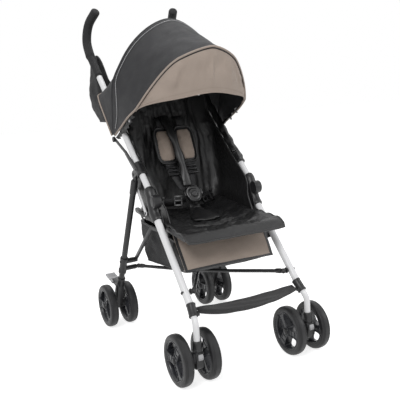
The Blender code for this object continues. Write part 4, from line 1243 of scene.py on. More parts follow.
def make_canopy():
    gore, lip = ((96, 20), (0.95, 0.30)), ((150, 22), (0.80, 0.16))
    rear = cloth("canopy_rear_gore_cloth", rear_gore, *gore, "canopy_black", nodes=["canopy_rear_gore"])
    name = "canopy_front_gore"
    front = cloth(f"{name}_cloth", front_gore, *gore, "canopy_black", "canopy", [name])
    peak = cloth("canopy_visor_cloth", visor, *lip, "taupe_cloth", "canopy", ["canopy_visor"])

    seam = cord(outward(edge_line(front_gore, 0.0, 0.98), 0.0012), 0.0031)
    piping = soft("canopy_front_piping", seam, "taupe_piping", "canopy")
    # A thin black rod just under the front seam's piping: painted shadow, a dark line where the piping casts
    # shade.
    seam_shadow_line = [p + Vector((0, -0.0012, -0.0036)) for p in edge_line(front_gore, 0.0, 0.46)]
    shadow = soft("canopy_seam_painted_shadow", sweep(seam_shadow_line, 0.0009, 8, 0.0006), "black_binding", "canopy")
    middle = cord(outward(edge_line(front_gore, 1.0, 0.97, 140), -0.0012), 0.0030)
    rib = soft("canopy_middle_bow", middle, "canopy_black", "canopy")
    line = []
    for across in even_steps(-0.94, 0.94, 180):
        line.append(proud(front_gore, across, 0.925 - 0.44 * ease(abs(across), 0.52, 0.97), 0.0019))
    thread = soft("canopy_middle_stitching", stitches(line, 0.0040, 0.0012, 0.0008), "pale_thread", "canopy")
    line = outward(edge_line(front_gore, 0.09, 0.60, 120), 0.0010)
    second = soft("canopy_front_stitching", stitches(line, 0.0026, 0.0016, 0.0004), "black_binding", "canopy")
    hem = [p + Vector((0, -0.0009, 0)) for p in edge_line(visor, 0.0, 1, 120)]
    edge = soft("visor_front_bow", cord(hem, 0.0022), "taupe_piping", "canopy")
    line = [p + Vector((0, -0.0014, 0)) for p in edge_line(visor, 0.10, 0.95, 120)]
    top = soft("visor_stitching", stitches(line, 0.0026, 0.0016, 0.0003), "taupe_thread", "canopy")
    back_edge = cord(outward(edge_line(rear_gore, 1.0, 1.0, 110), 0.0006), 0.0032)
    hind = soft("canopy_rear_piping", back_edge, "taupe_piping")

    clip_half = Vector((0.0016, 0.0032, 0.0038))
    washer = [
        (-0.0040, 0.0060), (-0.0040, 0.0085), (0.0016, 0.0088),
        (0.0026, 0.0078), (0.0030, 0.0050), (0.0031, 0.0012),
    ]
    for word, side in SIDES:
        surface = side_curtain(side)
        name = f"canopy_side_curtain_{word}"
        cloth(name, surface, (60, 12), (0.12, 0.03), "satin_black", "canopy", thick=0.0012)
        clips = []
        for share, low in CANOPY_CLIPS[word]:
            spot = surface(share * 2 - 1, 0.55) + Vector((side * 0.006, -low * 0.5, -low))
            ends = [spot + Vector((0, -0.005, -0.003)), spot + Vector((0, 0.005, 0.004))]
            clips += [box(spot - clip_half, spot + clip_half), sweep(ends, 0.0017, 12, 0.0006)]
        make(f"canopy_clip_{word}", join(*clips), "moulded_grey", "canopy", bevel=0.0006, fold=FOLD_KEEP)
        shape = turned(washer, side, 0.1890, CANOPY_HINGE, 28)
        make(f"canopy_hinge_{word}", shape, "moulded_black", "seat", fold=FOLD_KEEP)


# Seat, back and calf cloth


def back_line(z):
    share = (z - BACK_LOW[1]) / (BACK_HIGH[1] - BACK_LOW[1])
    return mix(BACK_LOW[0], BACK_HIGH[0], share)


def wing_line(z):
    run = (UPPER_HIGH[0] - UPPER_LOW[0]) / (UPPER_HIGH[1] - UPPER_LOW[1])
    return UPPER_LOW[0] + (z - UPPER_LOW[1]) * (run if z > UPPER_LOW[1] else 0.55)


def back_wall(along, z, side_shift=0.0):
    """The back and its wings in plan: along 0 at the middle, 1 at the wing's front edge."""
    half_width = mix(0.1410, 0.1545, ease(z, 0.445, 0.50)) + side_shift
    depth = back_line(z)
    front = min(wing_line(z) - 0.014 * (1 - ease(z, 0.50, 0.60)), depth - 0.002)
    radius = min(0.040, depth - front)
    flat = half_width - radius
    arc = radius * math.pi / 2
    run = abs(along) * (flat + arc + (depth - radius - front))
    if run < flat:
        x, y = run, depth
    elif run < flat + arc:
        turn = (run - flat) / radius
        x, y = flat + radius * math.sin(turn), depth - radius * (1 - math.cos(turn))
    else:
        x, y = half_width, depth - radius - (run - flat - arc)
    return Vector((math.copysign(x, along), y, z))


def back_folds(x, z):
    """Upright folds of the back cloth, how far they stand forward at x and z."""
    folds = (
        (-0.112, -0.104, 0.009, 0.0050),
        (-0.084, -0.088, 0.010, 0.0040),
        (-0.060, -0.066, 0.007, 0.0030),
        (0.066, 0.070, 0.009, 0.0050),
        (0.090, 0.098, 0.010, 0.0065),
        (0.112, 0.122, 0.008, 0.0045),
    )
    up = (z - 0.44) / 0.32
    total = 0.0
    for low, high, width, height in folds:
        centre = mix(low, high, up) + 0.005 * wander(low * 9, z, 0, 0.09, 2.0)
        strength = 0.65 + 0.35 * math.sin(up * 5 + low * 60)
        total += height * math.exp(-(((x - centre) / width) ** 2)) * strength
    total += 0.0040 * wander(x * 2.6, z * 0.55, 0, 0.07, 4.2)
    total += 0.0022 * wander(x * 3.4, z * 0.8, 0, 0.03, 6.4)
    total += 0.0012 * wander(x * 2.0, z * 2.0, 0, 0.018, 1.9)
    return total * ease(up, -0.10, 0.12)


def back(across, up):
    low = mix(0.396, 0.423, ease(abs(across), 0.52, 0.66)) - 0.014 * ease(abs(across), 0.66, 1.0)
    z = mix(low, 0.768, up)
    point = back_wall(across, z)
    lean = ease(abs(across), 0.50, 0.70)
    fold = back_folds(point.x, z)
    point.y -= fold * (1 - lean)
    edge = min(1.0, (1 - abs(across)) * 8)
    wave = 0.0035 * wander(point.y * 2.4, z * 0.8, across, 0.05, 9.0)
    wave += 0.0018 * wander(point.y * 3, z, 0, 0.02, 3.0)
    point.x -= math.copysign(abs(wave) + 0.0005, across) * lean * edge
    return point


def seat(across, up):
    y = mix(-0.226, 0.130, up)
    rail = mix(RAIL_FRONT[1], RAIL_REAR[1], (y - RAIL_FRONT[0]) / (RAIL_REAR[0] - RAIL_FRONT[0]))
    half_width = mix(0.161, 0.1545, ease(y, -0.165, -0.130))
    half_width = mix(half_width, 0.1420, ease(y, 0.100, 0.128))
    half_width -= 0.005 * (1 - ease(y, -0.226, -0.210)) ** 2
    sag = 0.026 * (1 - min(abs(across) / 0.84, 1.0) ** 2.5) * ease(y, -0.215, -0.08)
    drop = 0.024 * (1 - ease(y, -0.236, -0.196)) ** 1.3
    x = half_width * across
    inner = 1 - abs(across) ** 3
    crease = 0.0042 * math.sin(y * 82 + 5.0 * wander(x, y, 0, 0.12, 1.1))
    crease *= inner * ease(y, -0.225, -0.17) * (0.25 + 0.75 * abs(wander(x * 0.5, y, 0, 0.06, 8.3)) * 2)
    back_from_edge = mix(0.25, 1.0, ease(y, -0.226, -0.175))
    crease += 0.0044 * wander(x * 0.8, y * 2.2, 0, 0.040, 2.7) * inner * back_from_edge
    crease += 0.0026 * wander(x * 1.4, y * 2.0, 0, 0.016, 5.7) * inner * back_from_edge
    pucker = 0.0018 * math.sin(y * 160) * ease(abs(across), 0.86, 0.97)
    return Vector((x, y, rail + 0.0135 - sag - drop + crease + pucker))


def calf(across, up):
    z = mix(0.288, 0.386, up)
    y = mix(-0.171, -0.110, up) - 0.005 * math.cos(across * math.pi / 2)
    y -= 0.0030 * wander(across * 0.14, z, 0, 0.05, 3.3) + 0.0014 * wander(across * 0.14, z, 0, 0.02, 6.3)
    return Vector((mix(0.1470, 0.1500, up) * across, y, z - 0.003 * across * across))


def calf_lining(across, up):
    """The black cloth that hangs under the calf panel's lower hem."""
    top = calf(across, 0.04)
    sag = max(1 - across * across, 0.0) ** 0.5
    return top + Vector((0, 0.003 + 0.012 * (1 - up), -(0.002 + 0.012 * sag) * (1 - up) + 0.004 * up))


def wing_sleeve(side):
    """The back cloth's hem round the upper tube, from above the clamp up to under the canopy."""
    run = (Vector(UPPER_HIGH) - Vector(UPPER_LOW)).normalized()
    front = Vector((-run.y, run.x))
    high = 0.400 if side > 0 else 0.330
    start, stop = (math.radians(turn) for turn in ((285, 15) if side > 0 else (235, 115)))

    def surface(across, up):
        distance = mix(0.103, high, up)
        turn = mix(start, stop, (across + 1) / 2)
        radius = 0.0125 + 0.0012 * wander(across * 0.05, distance, 0, 0.02, 7.1)
        radius += 0.0014 * math.sin(distance * 130)
        place = upper_point(distance) + front * (math.sin(turn) * radius)
        return on_side(side, FRAME_X + math.cos(turn) * radius, place)
    return surface


def patch(surface, a_low, a_high, u_low, u_high, lift):
    """Part of a surface, moved along Y and Z by lift."""
    def part(across, up):
        return surface(mix(a_low, a_high, (across + 1) / 2), mix(u_low, u_high, up)) + Vector(lift)
    return part


def make_seat():
    black = "satin_black"
    keep = BACK_FOLD_KEEP
    count, flat = (140, 90), (0.56, 0.38)
    panel = cloth("back_cover_cloth", back, count, flat, black, "backrest", ["back_cover"], keep, 0.0022)
    edges = [[back(across, i / 40) for i in range(41)] for across in (-1.0, 1.0)]
    edges.append([back(-1 + 2 * i / 80, 1.0) for i in range(81)])
    hems = [sweep(line, 0.0024, 8, 0.001) for line in edges]
    trim = soft("back_cover_binding", join(*hems), "black_binding", "backrest", fold=keep)
    for word, side in SIDES:
        name, body = f"back_cover_sleeve_{word}", f"frame_{word}"
        sleeve = cloth(name, wing_sleeve(side), (24, 70), (0.04, 0.23), black, body, (), None, 0.0016)
        flat = (0.0270, 0.230) if side < 0 else (0.0600, 0.300)

    count, flat = (110, 110), (0.32, 0.36)
    panel = cloth("seat_cover_cloth", seat, count, flat, black, nodes=["seat_cover"], thick=0.0030)
    rim = [seat(-1.0, 0.98 - 0.98 * i / 60) for i in range(61)]
    rim += [seat(-1 + 2 * i / 60, 0.0) for i in range(1, 60)]
    rim += [seat(1.0, 0.98 * i / 60) for i in range(61)]
    trim = soft("seat_cover_binding", cord(rim, 0.0030), black)
    lines = []
    for up in (0.026, 0.046, 0.060):
        row = [seat(-0.93 + 1.86 * i / 90, up) + Vector((0, 0, 0.0017)) for i in range(91)]
        lines.append(stitches(row, 0.0028, 0.0014, 0.0004))
    sewn = soft("seat_front_stitching", join(*lines), "black_binding")
    liner = soft("seat_liner", liner_shape(), black)

    count, flat = (60, 20), (0.28, 0.12)
    panel = cloth("calf_panel_cloth", calf, count, flat, "taupe_cloth", nodes=["calf_panel"], thick=0.0024)
    borders = []
    for low, high, bottom, top in ((-1.0, -0.945, 0.0, 1.0), (0.945, 1.0, 0.0, 1.0), (-1.0, 1.0, 0.0, 0.06)):
        borders.append(grid(patch(calf, low, high, bottom, top, (0, -0.0019, 0)), 40, 14))
    edge = soft("calf_panel_border", join(*borders), "black_binding", thick=0.0014)
    lining = soft("calf_panel_lining", grid(calf_lining, 60, 8), black, thick=0.0016)
    hooks = []
    for _, side in SIDES:
        marks = ((0.1430, -0.1290, 0.346), (0.1520, -0.1280, 0.3470), (0.1615, -0.1260, 0.3480))
        line = [(side * x, y, z) for x, y, z in marks]
        hooks.append(ribbon(line, (0, 0.55, 1), 0.038, 0.0020))
    web = soft("calf_panel_webs", join(*hooks), black)


# Bags and the strap across the legs


def rounded_rectangle(half_x, y_low, y_high, corner, steps):
    points = []
    corners = (
        (half_x - corner, y_high - corner, 0),
        (-half_x + corner, y_high - corner, 90),
        (-half_x + corner, y_low + corner, 180),
        (half_x - corner, y_low + corner, 270),
    )
    for x, y, start in corners:
        for i in range(steps + 1):
            turn = math.radians(start + 90 * i / steps)
            points.append((x + corner * math.cos(turn), y + corner * math.sin(turn)))
    dense = []
    for (x0, y0), (x1, y1) in zip(points, points[1:] + points[:1]):
        count = max(1, round(math.hypot(x1 - x0, y1 - y0) / 0.010))
        for i in range(count):
            dense.append((mix(x0, x1, i / count), mix(y0, y1, i / count)))
    return dense


def liner_shape():
    """The padded liner that lies on the seat, with round front corners."""
    columns, rows = 60, 60

    def top(side, up):
        y = mix(-0.092, 0.120, up)
        round_off = math.sqrt(max(1 - (1 - min((y + 0.092) / 0.070, 1.0)) ** 2, 0.0))
        x = mix(0.040, 0.088, round_off) * side
        base = seat(x / 0.1545, (y + 0.226) / 0.356)
        edge = (1 - abs(side) ** 8) * min(1.0, (y + 0.0925) * 90)
        fall = math.sqrt(max(min(edge, 1.0), 0.0))
        puff = 0.0075 + 0.0030 * wander(x, y * 1.6, 0, 0.045, 4.4)
        puff += 0.0016 * wander(x, y * 2.0, 0, 0.018, 8.1)
        return Vector((x, y, base.z - 0.001 + puff * fall))

    verts, faces = grid(top, columns, rows)
    count = len(verts)
    verts += [Vector((v.x, v.y, v.z - 0.0012)) for v in verts]
    faces += [tuple(count + k for k in face[::-1]) for face in faces]
    rim = list(range(columns + 1))
    rim += [j * (columns + 1) + columns for j in range(1, rows + 1)]
    rim += [rows * (columns + 1) + i for i in range(columns - 1, -1, -1)]
    rim += [j * (columns + 1) for j in range(rows - 1, 0, -1)]
    for a, b in zip(rim, rim[1:] + rim[:1]):
        faces.append((a, b, b + count, a + count))
    return verts, faces


def bag(levels, corner, rows, height, slack, seed):
    """Rings of a sewn bag's walls: levels are (half_x, y_low, y_high); height(share, x, y) gives Z."""
    rings = []
    for row in range(rows + 1):
        share = row / rows
        spot = share * (len(levels) - 1)
        index = min(int(spot), len(levels) - 2)
        part = ease(spot - index, 0.0, 1.0) * 0.5 + (spot - index) * 0.5
        half_x, y_low, y_high = (mix(a, b, part) for a, b in zip(levels[index], levels[index + 1]))
        middle = (y_low + y_high) / 2
        ring = []
        for x, y in even_outline(rounded_rectangle(half_x, y_low, y_high, corner, 6), 140):
            bulge = slack * wander(x, y, share * 0.2, 0.06, seed) * math.sin(math.pi * min(share + 0.1, 1.0))
            bulge += 0.5 * slack * wander(x, y, share * 0.3, 0.03, seed + 3)
            away = Vector((x, y - middle)).normalized()
            ring.append(Vector((x + away.x * bulge, y + away.y * bulge, height(share, x, y))))
        rings.append(ring)
    return rings


def floor_fan(ring, drop, rings_in=6):
    """Rings that close a bag's floor, sagging towards its middle."""
    centre = sum(ring, Vector()) / len(ring)
    closed = []
    for i in range(rings_in, 0, -1):
        share = 1 - i / (rings_in + 1)
        row = []
        for p in ring:
            q = mix(centre, p, max(share, 0.03))
            q.z = mix(centre.z, p.z, share) - drop * (1 - share * share)
            row.append(q)
        closed.append(row)
    return closed


def even_outline(points, count):
    """count points evenly along a closed outline."""
    points = points + [points[0]]
    runs = [0.0]
    for (x0, y0), (x1, y1) in zip(points, points[1:]):
        runs.append(runs[-1] + math.hypot(x1 - x0, y1 - y0))
    even = []
    index = 0
    for i in range(count):
        run = runs[-1] * i / count
        while runs[index + 1] < run:
            index += 1
        share = (run - runs[index]) / max(runs[index + 1] - runs[index], 1e-9)
        even.append(tuple(mix(a, b, share) for a, b in zip(points[index], points[index + 1])))
    return even


def strap(across, up):
    """The footrest strap between the legs, pinched at both ends."""
    sag = 1 - across * across
    belly = max(sag, 0.0) ** 0.6
    z = 0.2020 - 0.0100 * sag + mix(-1, 1, up) * mix(0.0028, 0.0122, belly)
    y = mix(-0.268, -0.246, up) - 0.012 * sag
    y += 0.0030 * math.sin(up * math.pi * 2 + across * 2) * sag
    z += 0.0016 * wander(across * 0.2, up * 0.03, 0, 0.05, 6.1)
    return Vector((0.1600 * across, y, z))


def make_basket():
    def height(share, _, y):
        back_share = (y + 0.125) / 0.305
        return mix(mix(0.264, 0.2425, back_share), mix(0.345, 0.372, back_share), share)

    levels = [(0.112, -0.106, 0.202), (0.118, -0.115, 0.212)]
    levels += [(0.1205, -0.120, 0.216), (0.1210, -0.124, 0.217)]
    rings = bag(levels, 0.022, 18, height, 0.004, 2.2)
    shape = loft(floor_fan(rings[0], 0.004) + rings, caps=False)
    basket = soft("storage_basket_cloth", shape, "matt_black", nodes=["storage_basket"], thick=0.0020)
    hems = [sweep(rings[-1] + [rings[-1][0]], 0.0030, 8)]
    hems.append(sweep([p + Vector((0, 0, 0.0005)) for p in rings[0] + [rings[0][0]]], 0.0022, 8))
    for _, side in SIDES:
        hems.append(sweep([ring_point(ring, side, 0.045) for ring in rings], 0.0012, 6))
    trim = soft("storage_basket_binding", join(*hems), "black_binding")
    hangers = []
    for _, side in SIDES:
        for y, top in ((-0.108, 0.391), (0.020, 0.403), (0.178, 0.4230)):
            low = height(1.0, 0, y)
            line = [(side * 0.1180, y, low - 0.020), (side * 0.1205, y, low + 0.004)]
            line += [(side * 0.1330, min(y, 0.165), mix(low, top, 0.65)), (side * 0.1430, min(y, 0.150), top)]
            hangers.append(ribbon(smooth_path(line, 4), (0, 1, 0), 0.018, 0.0016))
    straps = soft("storage_basket_hangers", join(*hangers), "webbing")


def make_pocket():
    def height(share, x, _):
        brim = 0.925 - POCKET_SAG * (1 - ease(abs(x), 0.118, 0.152))
        return mix(0.698, brim, share)

    levels = [(0.137, 0.402, 0.497), (0.158, 0.389, 0.515), (0.159, 0.3865, 0.515)]
    levels += [(0.154, 0.3865, 0.507), (0.1500, 0.388, 0.500)]
    rings = bag(levels, 0.026, 26, height, 0.005, 5.6)
    shape = loft(floor_fan(rings[0], 0.0) + rings, caps=False)
    pocket = soft("rear_pocket_cloth", shape, "matt_black", nodes=["rear_pocket"], thick=0.0020)
    trim = soft("rear_pocket_binding", sweep(rings[-1] + [rings[-1][0]], 0.0030, 8), "black_binding")
    tabs = []
    for _, side in SIDES:
        for z in (0.800, 0.880):
            tube = UPPER_HIGH[0] + (z - UPPER_HIGH[1]) * 1.0233
            line = [(side * 0.1500, 0.395, z), (side * 0.1560, mix(0.395, tube, 0.35), z)]
            line += [(side * 0.1640, mix(0.395, tube, 0.75), z), (side * 0.1700, tube + 0.008, z)]
            tabs.append(ribbon(smooth_path(line, 4), (0, 0, 1), 0.022, 0.0018))
    straps = soft("rear_pocket_tabs", join(*tabs), "webbing")


def make_bags():
    make_basket()
    make_pocket()
    node = "footrest_strap"
    panel = cloth(f"{node}_cloth", strap, (80, 16), (0.32, 0.04), "satin_black", nodes=[node], thick=0.0022)
    hems = [sweep([strap(-1 + 2 * i / 60, up) for i in range(61)], 0.0018, 8, 0.0008) for up in (0.0, 1.0)]
    trim = soft("footrest_strap_binding", join(*hems), "black_binding")


# Harness


def inflate(name, shape, skin, body, nodes, pressure, cap, shrink):
    """A stuffed pad: cloth blown up from a slightly smaller closed form, each point held within cap."""
    verts, faces = shape
    centre = sum((Vector(v) for v in verts), Vector()) / len(verts)
    piece = new_piece(name, [centre + (Vector(v) - centre) * shrink for v in verts], faces)
    step = piece.modifiers.new("even", "REMESH")
    step.mode = "VOXEL"
    step.voxel_size = 0.0030
    bake(piece)
    before = [v.co.copy() for v in piece.data.vertices]
    fabric = piece.modifiers.new("cloth", "CLOTH")
    fabric.settings.quality = 6
    fabric.settings.mass = 0.15
    fabric.settings.tension_stiffness = 12
    fabric.settings.compression_stiffness = 12
    fabric.settings.bending_stiffness = 0.3
    fabric.settings.use_pressure = True
    fabric.settings.uniform_pressure_force = pressure
    fabric.settings.effector_weights.gravity = 0.0
    fabric.point_cache.frame_start = 1
    fabric.point_cache.frame_end = 20
    for number in range(1, 21):
        bpy.context.scene.frame_set(number)
    bake(piece)
    bpy.context.scene.frame_set(1)
    for vertex, old in zip(piece.data.vertices, before):
        move = vertex.co - old
        if move.length > cap:
            vertex.co = old + move * (cap / move.length)
    step = piece.modifiers.new("soft", "SUBSURF")
    step.levels = 1
    bake(piece)
    dress(piece, skin)
    return settle(piece, skin, body, nodes)


def pad_outline(width, height, roundness, count):
    points = []
    for i in range(count):
        turn = 2 * math.pi * i / count
        x = width / 2 * rounded(math.cos(turn), roundness)
        points.append((x, height / 2 * rounded(math.sin(turn), roundness)))
    return points


def cushion(centre, width, height, depth, lean):
    """A flat cushion facing -Y: rings from front to back, pulled in at the edge seam."""
    outline = pad_outline(width, height, 0.5, 40)
    rings = []
    seam = [(-1.0, 0.45), (-0.92, 0.72), (-0.6, 0.90), (0.0, 1.0), (0.6, 0.90), (0.92, 0.72), (1.0, 0.45)]
    for share, scale in seam:
        ring = []
        for x, z in outline:
            deep = share * depth / 2 + z * scale * lean
            ring.append(Vector((x * scale, deep, z * scale)) + Vector(centre))
        rings.append(ring)
    return loft(rings)


def ring_point(ring, side, y):
    """The point of a bag's ring on one side, nearest to y."""
    near = [p for p in ring if p.x * side > 0.05]
    return min(near, key=lambda p: abs(p.y - y))


def pad_border(centre, path):
    """The bound edge round a shoulder pad."""
    rings = []
    for i, point in enumerate(path):
        tangent = (path[(i + 1) % len(path)] - path[i - 1]).normalized()
        inward = (centre - point).normalized()
        inward = (inward - tangent * inward.dot(tangent)).normalized()
        deep = tangent.cross(inward)
        ring = []
        for k in range(10):
            turn = 2 * math.pi * k / 10
            ring.append(point + inward * (0.0036 * math.cos(turn)) + deep * (0.0054 * math.sin(turn)))
        rings.append(ring)
    return loft(rings, closed=True)


def make_pads():
    for word, side in SIDES:
        node = f"shoulder_pad_{word}"
        x, y, z = side * PAD_CENTRE[0], PAD_CENTRE[1], PAD_CENTRE[2]
        front = cushion((x, y - 0.0020, z), 0.058, 0.104, 0.010, PAD_LEAN)
        face = inflate(f"{node}_face", front, "taupe_pad", "backrest", [node], 3.0, 0.004, 0.97)
        path = []
        for px, pz in pad_outline(0.0675, 0.113, 0.5, 72):
            path.append(Vector((x + px, y - 0.0005 + pz * PAD_LEAN, z + pz)))
        edge = pad_border(Vector((x, y, z)), path)
        trim = soft(f"{node}_border", edge, "satin_black", "backrest", fold=None)
        shell = cushion((x, y + 0.0025, z), 0.0675, 0.113, 0.0090, PAD_LEAN)
        rear = make(f"{node}_back", shell, "satin_black", "backrest", subdivide=1, smooth=60)
        for piece in (face, trim, rear):
            squash(piece, PAD_FOLD_KEEP)


def ladder(place, tilt, turn, wide, tall):
    """A webbing adjuster: a frame with two bars, turned by degrees about X and then Z."""
    spin = Matrix.Rotation(math.radians(turn), 4, "Z") @ Matrix.Rotation(math.radians(tilt), 4, "X")
    matrix = Matrix.Translation(place) @ spin
    x, z = wide / 2, tall / 2
    parts = []
    for low, high in (
        ((-x, -0.0026, -z), (-x + 0.0040, 0.0026, z)),
        ((x - 0.0040, -0.0026, -z), (x, 0.0026, z)),
        ((-x, -0.0034, z - 0.0072), (x, 0.0024, z)),
        ((-x, -0.0034, -z), (x, 0.0024, -z + 0.0062)),
        ((-x, -0.0040, -0.0030), (x, 0.0002, 0.0034)),
    ):
        parts.append(box(low, high, matrix))
    return join(*parts)


def make_harness():
    straps, uppers, hardware = [], [], []
    for word, side in SIDES:
        x = side * PAD_CENTRE[0]
        marks = ((0.2060, 0.706), (0.1940, 0.7060), (0.1830, 0.6980), (0.1760, 0.683), (0.1700, 0.660))
        line = [(x, y, z) for y, z in marks]
        uppers.append(ribbon(smooth_path(line, 5), (1, 0, 0), 0.027, 0.0024))
        line = [(x, 0.1400, 0.590), (x, 0.1300, 0.565), (x * 0.93, 0.1180, 0.540), (x * 0.66, 0.0980, 0.508)]
        line += [(side * 0.014, 0.0780, 0.484), (side * 0.0105, 0.0650, 0.4770)]
        shape = ribbon(smooth_path(line, 6), (1, 0, 0), 0.028, 0.0026)
        lower = soft(f"shoulder_strap_{word}", shape, "webbing", fold=None)
        lower.parent = None
        lower.matrix_world = Matrix.Identity(4)
        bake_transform(lower)
        shape = ladder(Vector((x * 0.92, 0.1100, 0.5380)), -38, 0, 0.040, 0.034)
        name = f"strap_adjuster_{word}"
        make(name, shape, "moulded_black", "backrest", bevel=0.0008, fold=PAD_FOLD_KEEP)
        line = []
        for reach, y, z in (
            (0.021, 0.0560, 0.4540), (0.038, 0.0620, 0.4480), (0.060, 0.0780, 0.4430),
            (0.086, 0.0990, 0.4430), (0.108, 0.1220, 0.4520),
        ):
            line.append((side * reach, y, z))
        straps.append(ribbon(smooth_path(line, 5), (0, -0.4, 1), 0.028, 0.0026))
        hardware.append(ladder(Vector((side * 0.046, 0.0590, 0.4490)), -28, side * 30, 0.026, 0.036))
        hardware.append(ladder(Vector((side * 0.090, 0.0960, 0.4470)), -28, side * 42, 0.024, 0.032))
    soft("shoulder_strap_uppers", join(*uppers), "webbing", "backrest", fold=PAD_FOLD_KEEP)
    line = [(0, 0.0440, 0.4380), (0, 0.0400, 0.4280), (0, 0.0320, 0.4200), (0, 0.0180, 0.4160)]
    straps.append(ribbon(smooth_path(line, 5), (1, 0, 0), 0.026, 0.0022))
    soft("harness_straps", join(*straps), "webbing", nodes=["harness"])
    make("lap_adjusters", join(*hardware), "moulded_black", "seat", bevel=0.0008, fold=FOLD_KEEP)
    pad = inflate("crotch_pad", crotch_shape(), "satin_black", "seat", (), 3.0, 0.006, 0.96)
    squash(pad, PAD_FOLD_KEEP)
    tether = inflate("harness_centre_pad", centre_shape(), "satin_black", "backrest", (), 2.5, 0.004, 0.96)
    squash(tether, PAD_FOLD_KEEP)


def tongue(marks, width, thickness, sides=20):
    """A soft flat band with rounded edges, its width along X; width and thickness follow the share."""
    path = smooth_path(marks, 4)
    rings = []
    for i, (point, (tangent, _, _)) in enumerate(zip(path, frames(path))):
        share = i / (len(path) - 1)
        wide, thick = width(share), thickness(share)
        across = Vector((1, 0, 0))
        lift = tangent.cross(across).normalized()
        ring = []
        for k in range(sides):
            turn = 2 * math.pi * k / sides
            reach = wide / 2 * rounded(math.cos(turn), 0.7)
            ring.append(point + across * reach + lift * (thick / 2 * math.sin(turn)))
        rings.append(ring)
    return loft(rings)


def padding(share, thin, swell):
    return thin + swell * math.sin(math.pi * min(max(share, 0.03), 0.97)) ** 0.6


def crotch_shape():
    marks = [(0, 0.0400, 0.4360), (0, 0.0310, 0.4220), (0, 0.0130, 0.4120), (0, -0.0150, 0.4050)]
    marks += [(0, -0.0400, 0.4020), (0, -0.0620, 0.3995)]

    def width(share):
        return mix(0.040, 0.098, ease(share, 0.0, 0.75)) * (1 - 0.6 * ease(share, 0.82, 1.0) ** 2)

    return tongue(marks, width, lambda share: padding(share, 0.004, 0.012))


def centre_shape():
    marks = [(-0.020, 0.192, 0.716), (-0.017, 0.168, 0.690), (-0.011, 0.147, 0.655), (-0.005, 0.131, 0.612)]
    marks += [(-0.001, 0.113, 0.570), (0.001, 0.092, 0.525), (0.000, 0.072, 0.484)]

    def width(share):
        return 0.034 + 0.003 * math.sin(share * 23)

    return tongue(marks, width, lambda share: padding(share, 0.005, 0.009))


def make_buckle():
    """A rounded five-point buckle: shell with shoulders, side tongues, a ringed press button."""
    lean = Matrix.Rotation(math.radians(-35), 4, "X")
    spot = Matrix.Translation(BUCKLE_CENTRE) @ lean @ Matrix.Translation((0, -0.016, 0))

    def placed(shape):
        return [spot @ Vector(v) for v in shape[0]], shape[1]

    outline = []
    for i in range(56):
        turn = 2 * math.pi * i / 56
        z = 0.0285 * rounded(math.sin(turn), 0.75)
        taper = mix(0.82, 1.0, ease(z, -0.026, 0.010))
        outline.append((0.0285 * taper * rounded(math.cos(turn), 0.72), z))
    layers = (
        (0.0060, 0.90), (0.0048, 1.0), (-0.0010, 1.0), (-0.0040, 0.95), (-0.0060, 0.86),
        (-0.0052, 0.80), (-0.0052, 0.62), (-0.0062, 0.56), (-0.0056, 0.46),
    )
    parts = [loft([[Vector((x * scale, y, z * scale)) for x, z in outline] for y, scale in layers])]
    ring = [(0.0042, 0.0096), (0.0062, 0.0106), (0.0072, 0.0116), (0.0066, 0.0128), (0.0048, 0.0132)]
    parts.append(lathe(ring, (0, 0, 0), (0, -1, 0), 36))
    for side in (-1, 1):
        x = side * 0.0265
        parts.append(box((x - 0.005, -0.0024, -0.0020), (x + 0.005, 0.0024, 0.0170)))
        x = side * 0.0115
        parts.append(box((x - 0.0072, -0.0022, 0.0230), (x + 0.0072, 0.0022, 0.0300)))
    shell = join(*(placed(part) for part in parts))
    make("buckle_shell", shell, "glossy_black", "seat", ["buckle"], bevel=0.0008, smooth=50)
    cap = [
        (0.0030, 0.0088), (0.0064, 0.0090), (0.0076, 0.0082),
        (0.0080, 0.0060), (0.0076, 0.0030), (0.0074, 0.0008),
    ]
    button = placed(lathe(cap, (0, 0, 0), (0, -1, 0), 36))
    make("buckle_button_cap", button, "button_grey", "release_button", ["buckle_button"], smooth=50)


# Stage


def make_camera():
    camera = bpy.data.cameras.new("camera")
    camera.sensor_width = 36
    camera.lens = 651 / 400 * 36
    camera.clip_start = 0.05
    camera.clip_end = 60
    right = Vector((0.885, -0.461, -0.066))
    back_way = Vector((-0.446, -0.879, 0.168)).normalized()
    right = (right - back_way * right.dot(back_way)).normalized()
    up = back_way.cross(right)
    turn = Matrix((right, up, back_way)).transposed().to_4x4()
    eye = bpy.data.objects.new("camera", camera)
    eye.matrix_world = Matrix.Translation((-0.899, -1.86125, 0.791)) @ turn
    bpy.context.scene.collection.objects.link(eye)
    bpy.context.scene.camera = eye


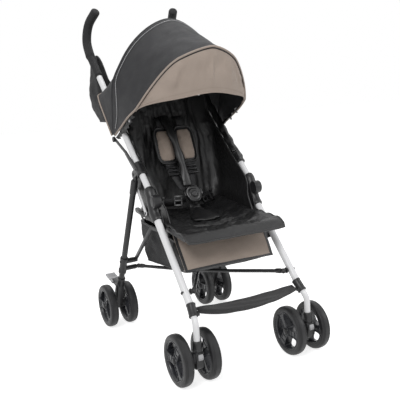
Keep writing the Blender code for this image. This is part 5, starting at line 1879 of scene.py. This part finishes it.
def make_stage():
    """The camera, the pale floor, the studio's light and three lamps."""
    scene = bpy.context.scene
    scene.view_settings.view_transform = "Standard"
    make_camera()

    mesh = bpy.data.meshes.new("floor")
    size = 14
    corners = [(-size, -size, 0), (size, -size, 0), (size, size, 0), (-size, size, 0)]
    mesh.from_pydata(corners, [], [(0, 1, 2, 3)])
    floor = bpy.data.objects.new("floor", mesh)
    scene.collection.objects.link(floor)
    mesh.materials.append(floor_material())

    world = bpy.data.worlds.new("studio")
    scene.world = world
    world.use_nodes = True
    nodes, links = world.node_tree.nodes, world.node_tree.links
    ground = nodes["Background"]
    ground.inputs["Color"].default_value = (1, 1, 1, 1)
    seen = seen_directly(nodes, links)
    strength = nodes.new("ShaderNodeMapRange")
    strength.inputs["To Min"].default_value = 0.42
    strength.inputs["To Max"].default_value = 1.0
    links.new(seen, strength.inputs["Value"])
    links.new(strength.outputs["Result"], ground.inputs["Strength"])

    for name, place, size, power in (
        ("key", (-2.0, -2.4, 3.0), 1.6, 66),
        ("fill", (2.6, -1.8, 1.9), 1.8, 24),
        ("top", (0.3, 0.9, 3.2), 2.2, 30),
    ):
        lamp = bpy.data.lights.new(name, "AREA")
        lamp.size = size
        lamp.energy = power
        holder = bpy.data.objects.new(name, lamp)
        holder.location = place
        aim = Vector((0, 0, 0.5)) - Vector(place)
        holder.rotation_euler = aim.to_track_quat("-Z", "Y").to_euler()
        scene.collection.objects.link(holder)


def seen_directly(nodes, links):
    """1 where the camera sees a surface directly, in a mirror or through glass."""
    path = nodes.new("ShaderNodeLightPath")
    total = path.outputs["Is Camera Ray"]
    for ray in ("Is Glossy Ray", "Is Transmission Ray"):
        step = nodes.new("ShaderNodeMath")
        step.operation = "MAXIMUM"
        links.new(total, step.inputs[0])
        links.new(path.outputs[ray], step.inputs[1])
        total = step.outputs["Value"]
    return total


def floor_material():
    made = bpy.data.materials.new("floor")
    made.use_nodes = True
    nodes, links = made.node_tree.nodes, made.node_tree.links
    matt = nodes["Principled BSDF"]
    matt.inputs["Base Color"].default_value = (0.80, 0.80, 0.80, 1)
    matt.inputs["Roughness"].default_value = 0.9
    matt.inputs["Specular IOR Level"].default_value = 0.1
    glow = nodes.new("ShaderNodeEmission")
    glow.inputs["Color"].default_value = (1, 1, 1, 1)
    share = nodes.new("ShaderNodeMath")
    share.operation = "MULTIPLY"
    share.inputs[1].default_value = FLOOR_GLOW
    links.new(seen_directly(nodes, links), share.inputs[0])
    links.new(share.outputs["Value"], glow.inputs["Strength"])
    total = nodes.new("ShaderNodeAddShader")
    links.new(matt.outputs["BSDF"], total.inputs[0])
    links.new(glow.outputs["Emission"], total.inputs[1])
    links.new(total.outputs["Shader"], nodes["Material Output"].inputs["Surface"])
    return made


make_stage()
make_wheels()
for word, side in SIDES:
    make_leg(word, side)
    make_caster(word, side)
    make_housing(word, side)
    make_upper(word, side)
    make_clamp(word, side)
    make_rear_leg(word, side)
    make_pedal(word, side)
    make_linkage(word, side)
make_braces()
make_canopy()
make_seat()
make_bags()
make_pads()
make_harness()
make_buckle()
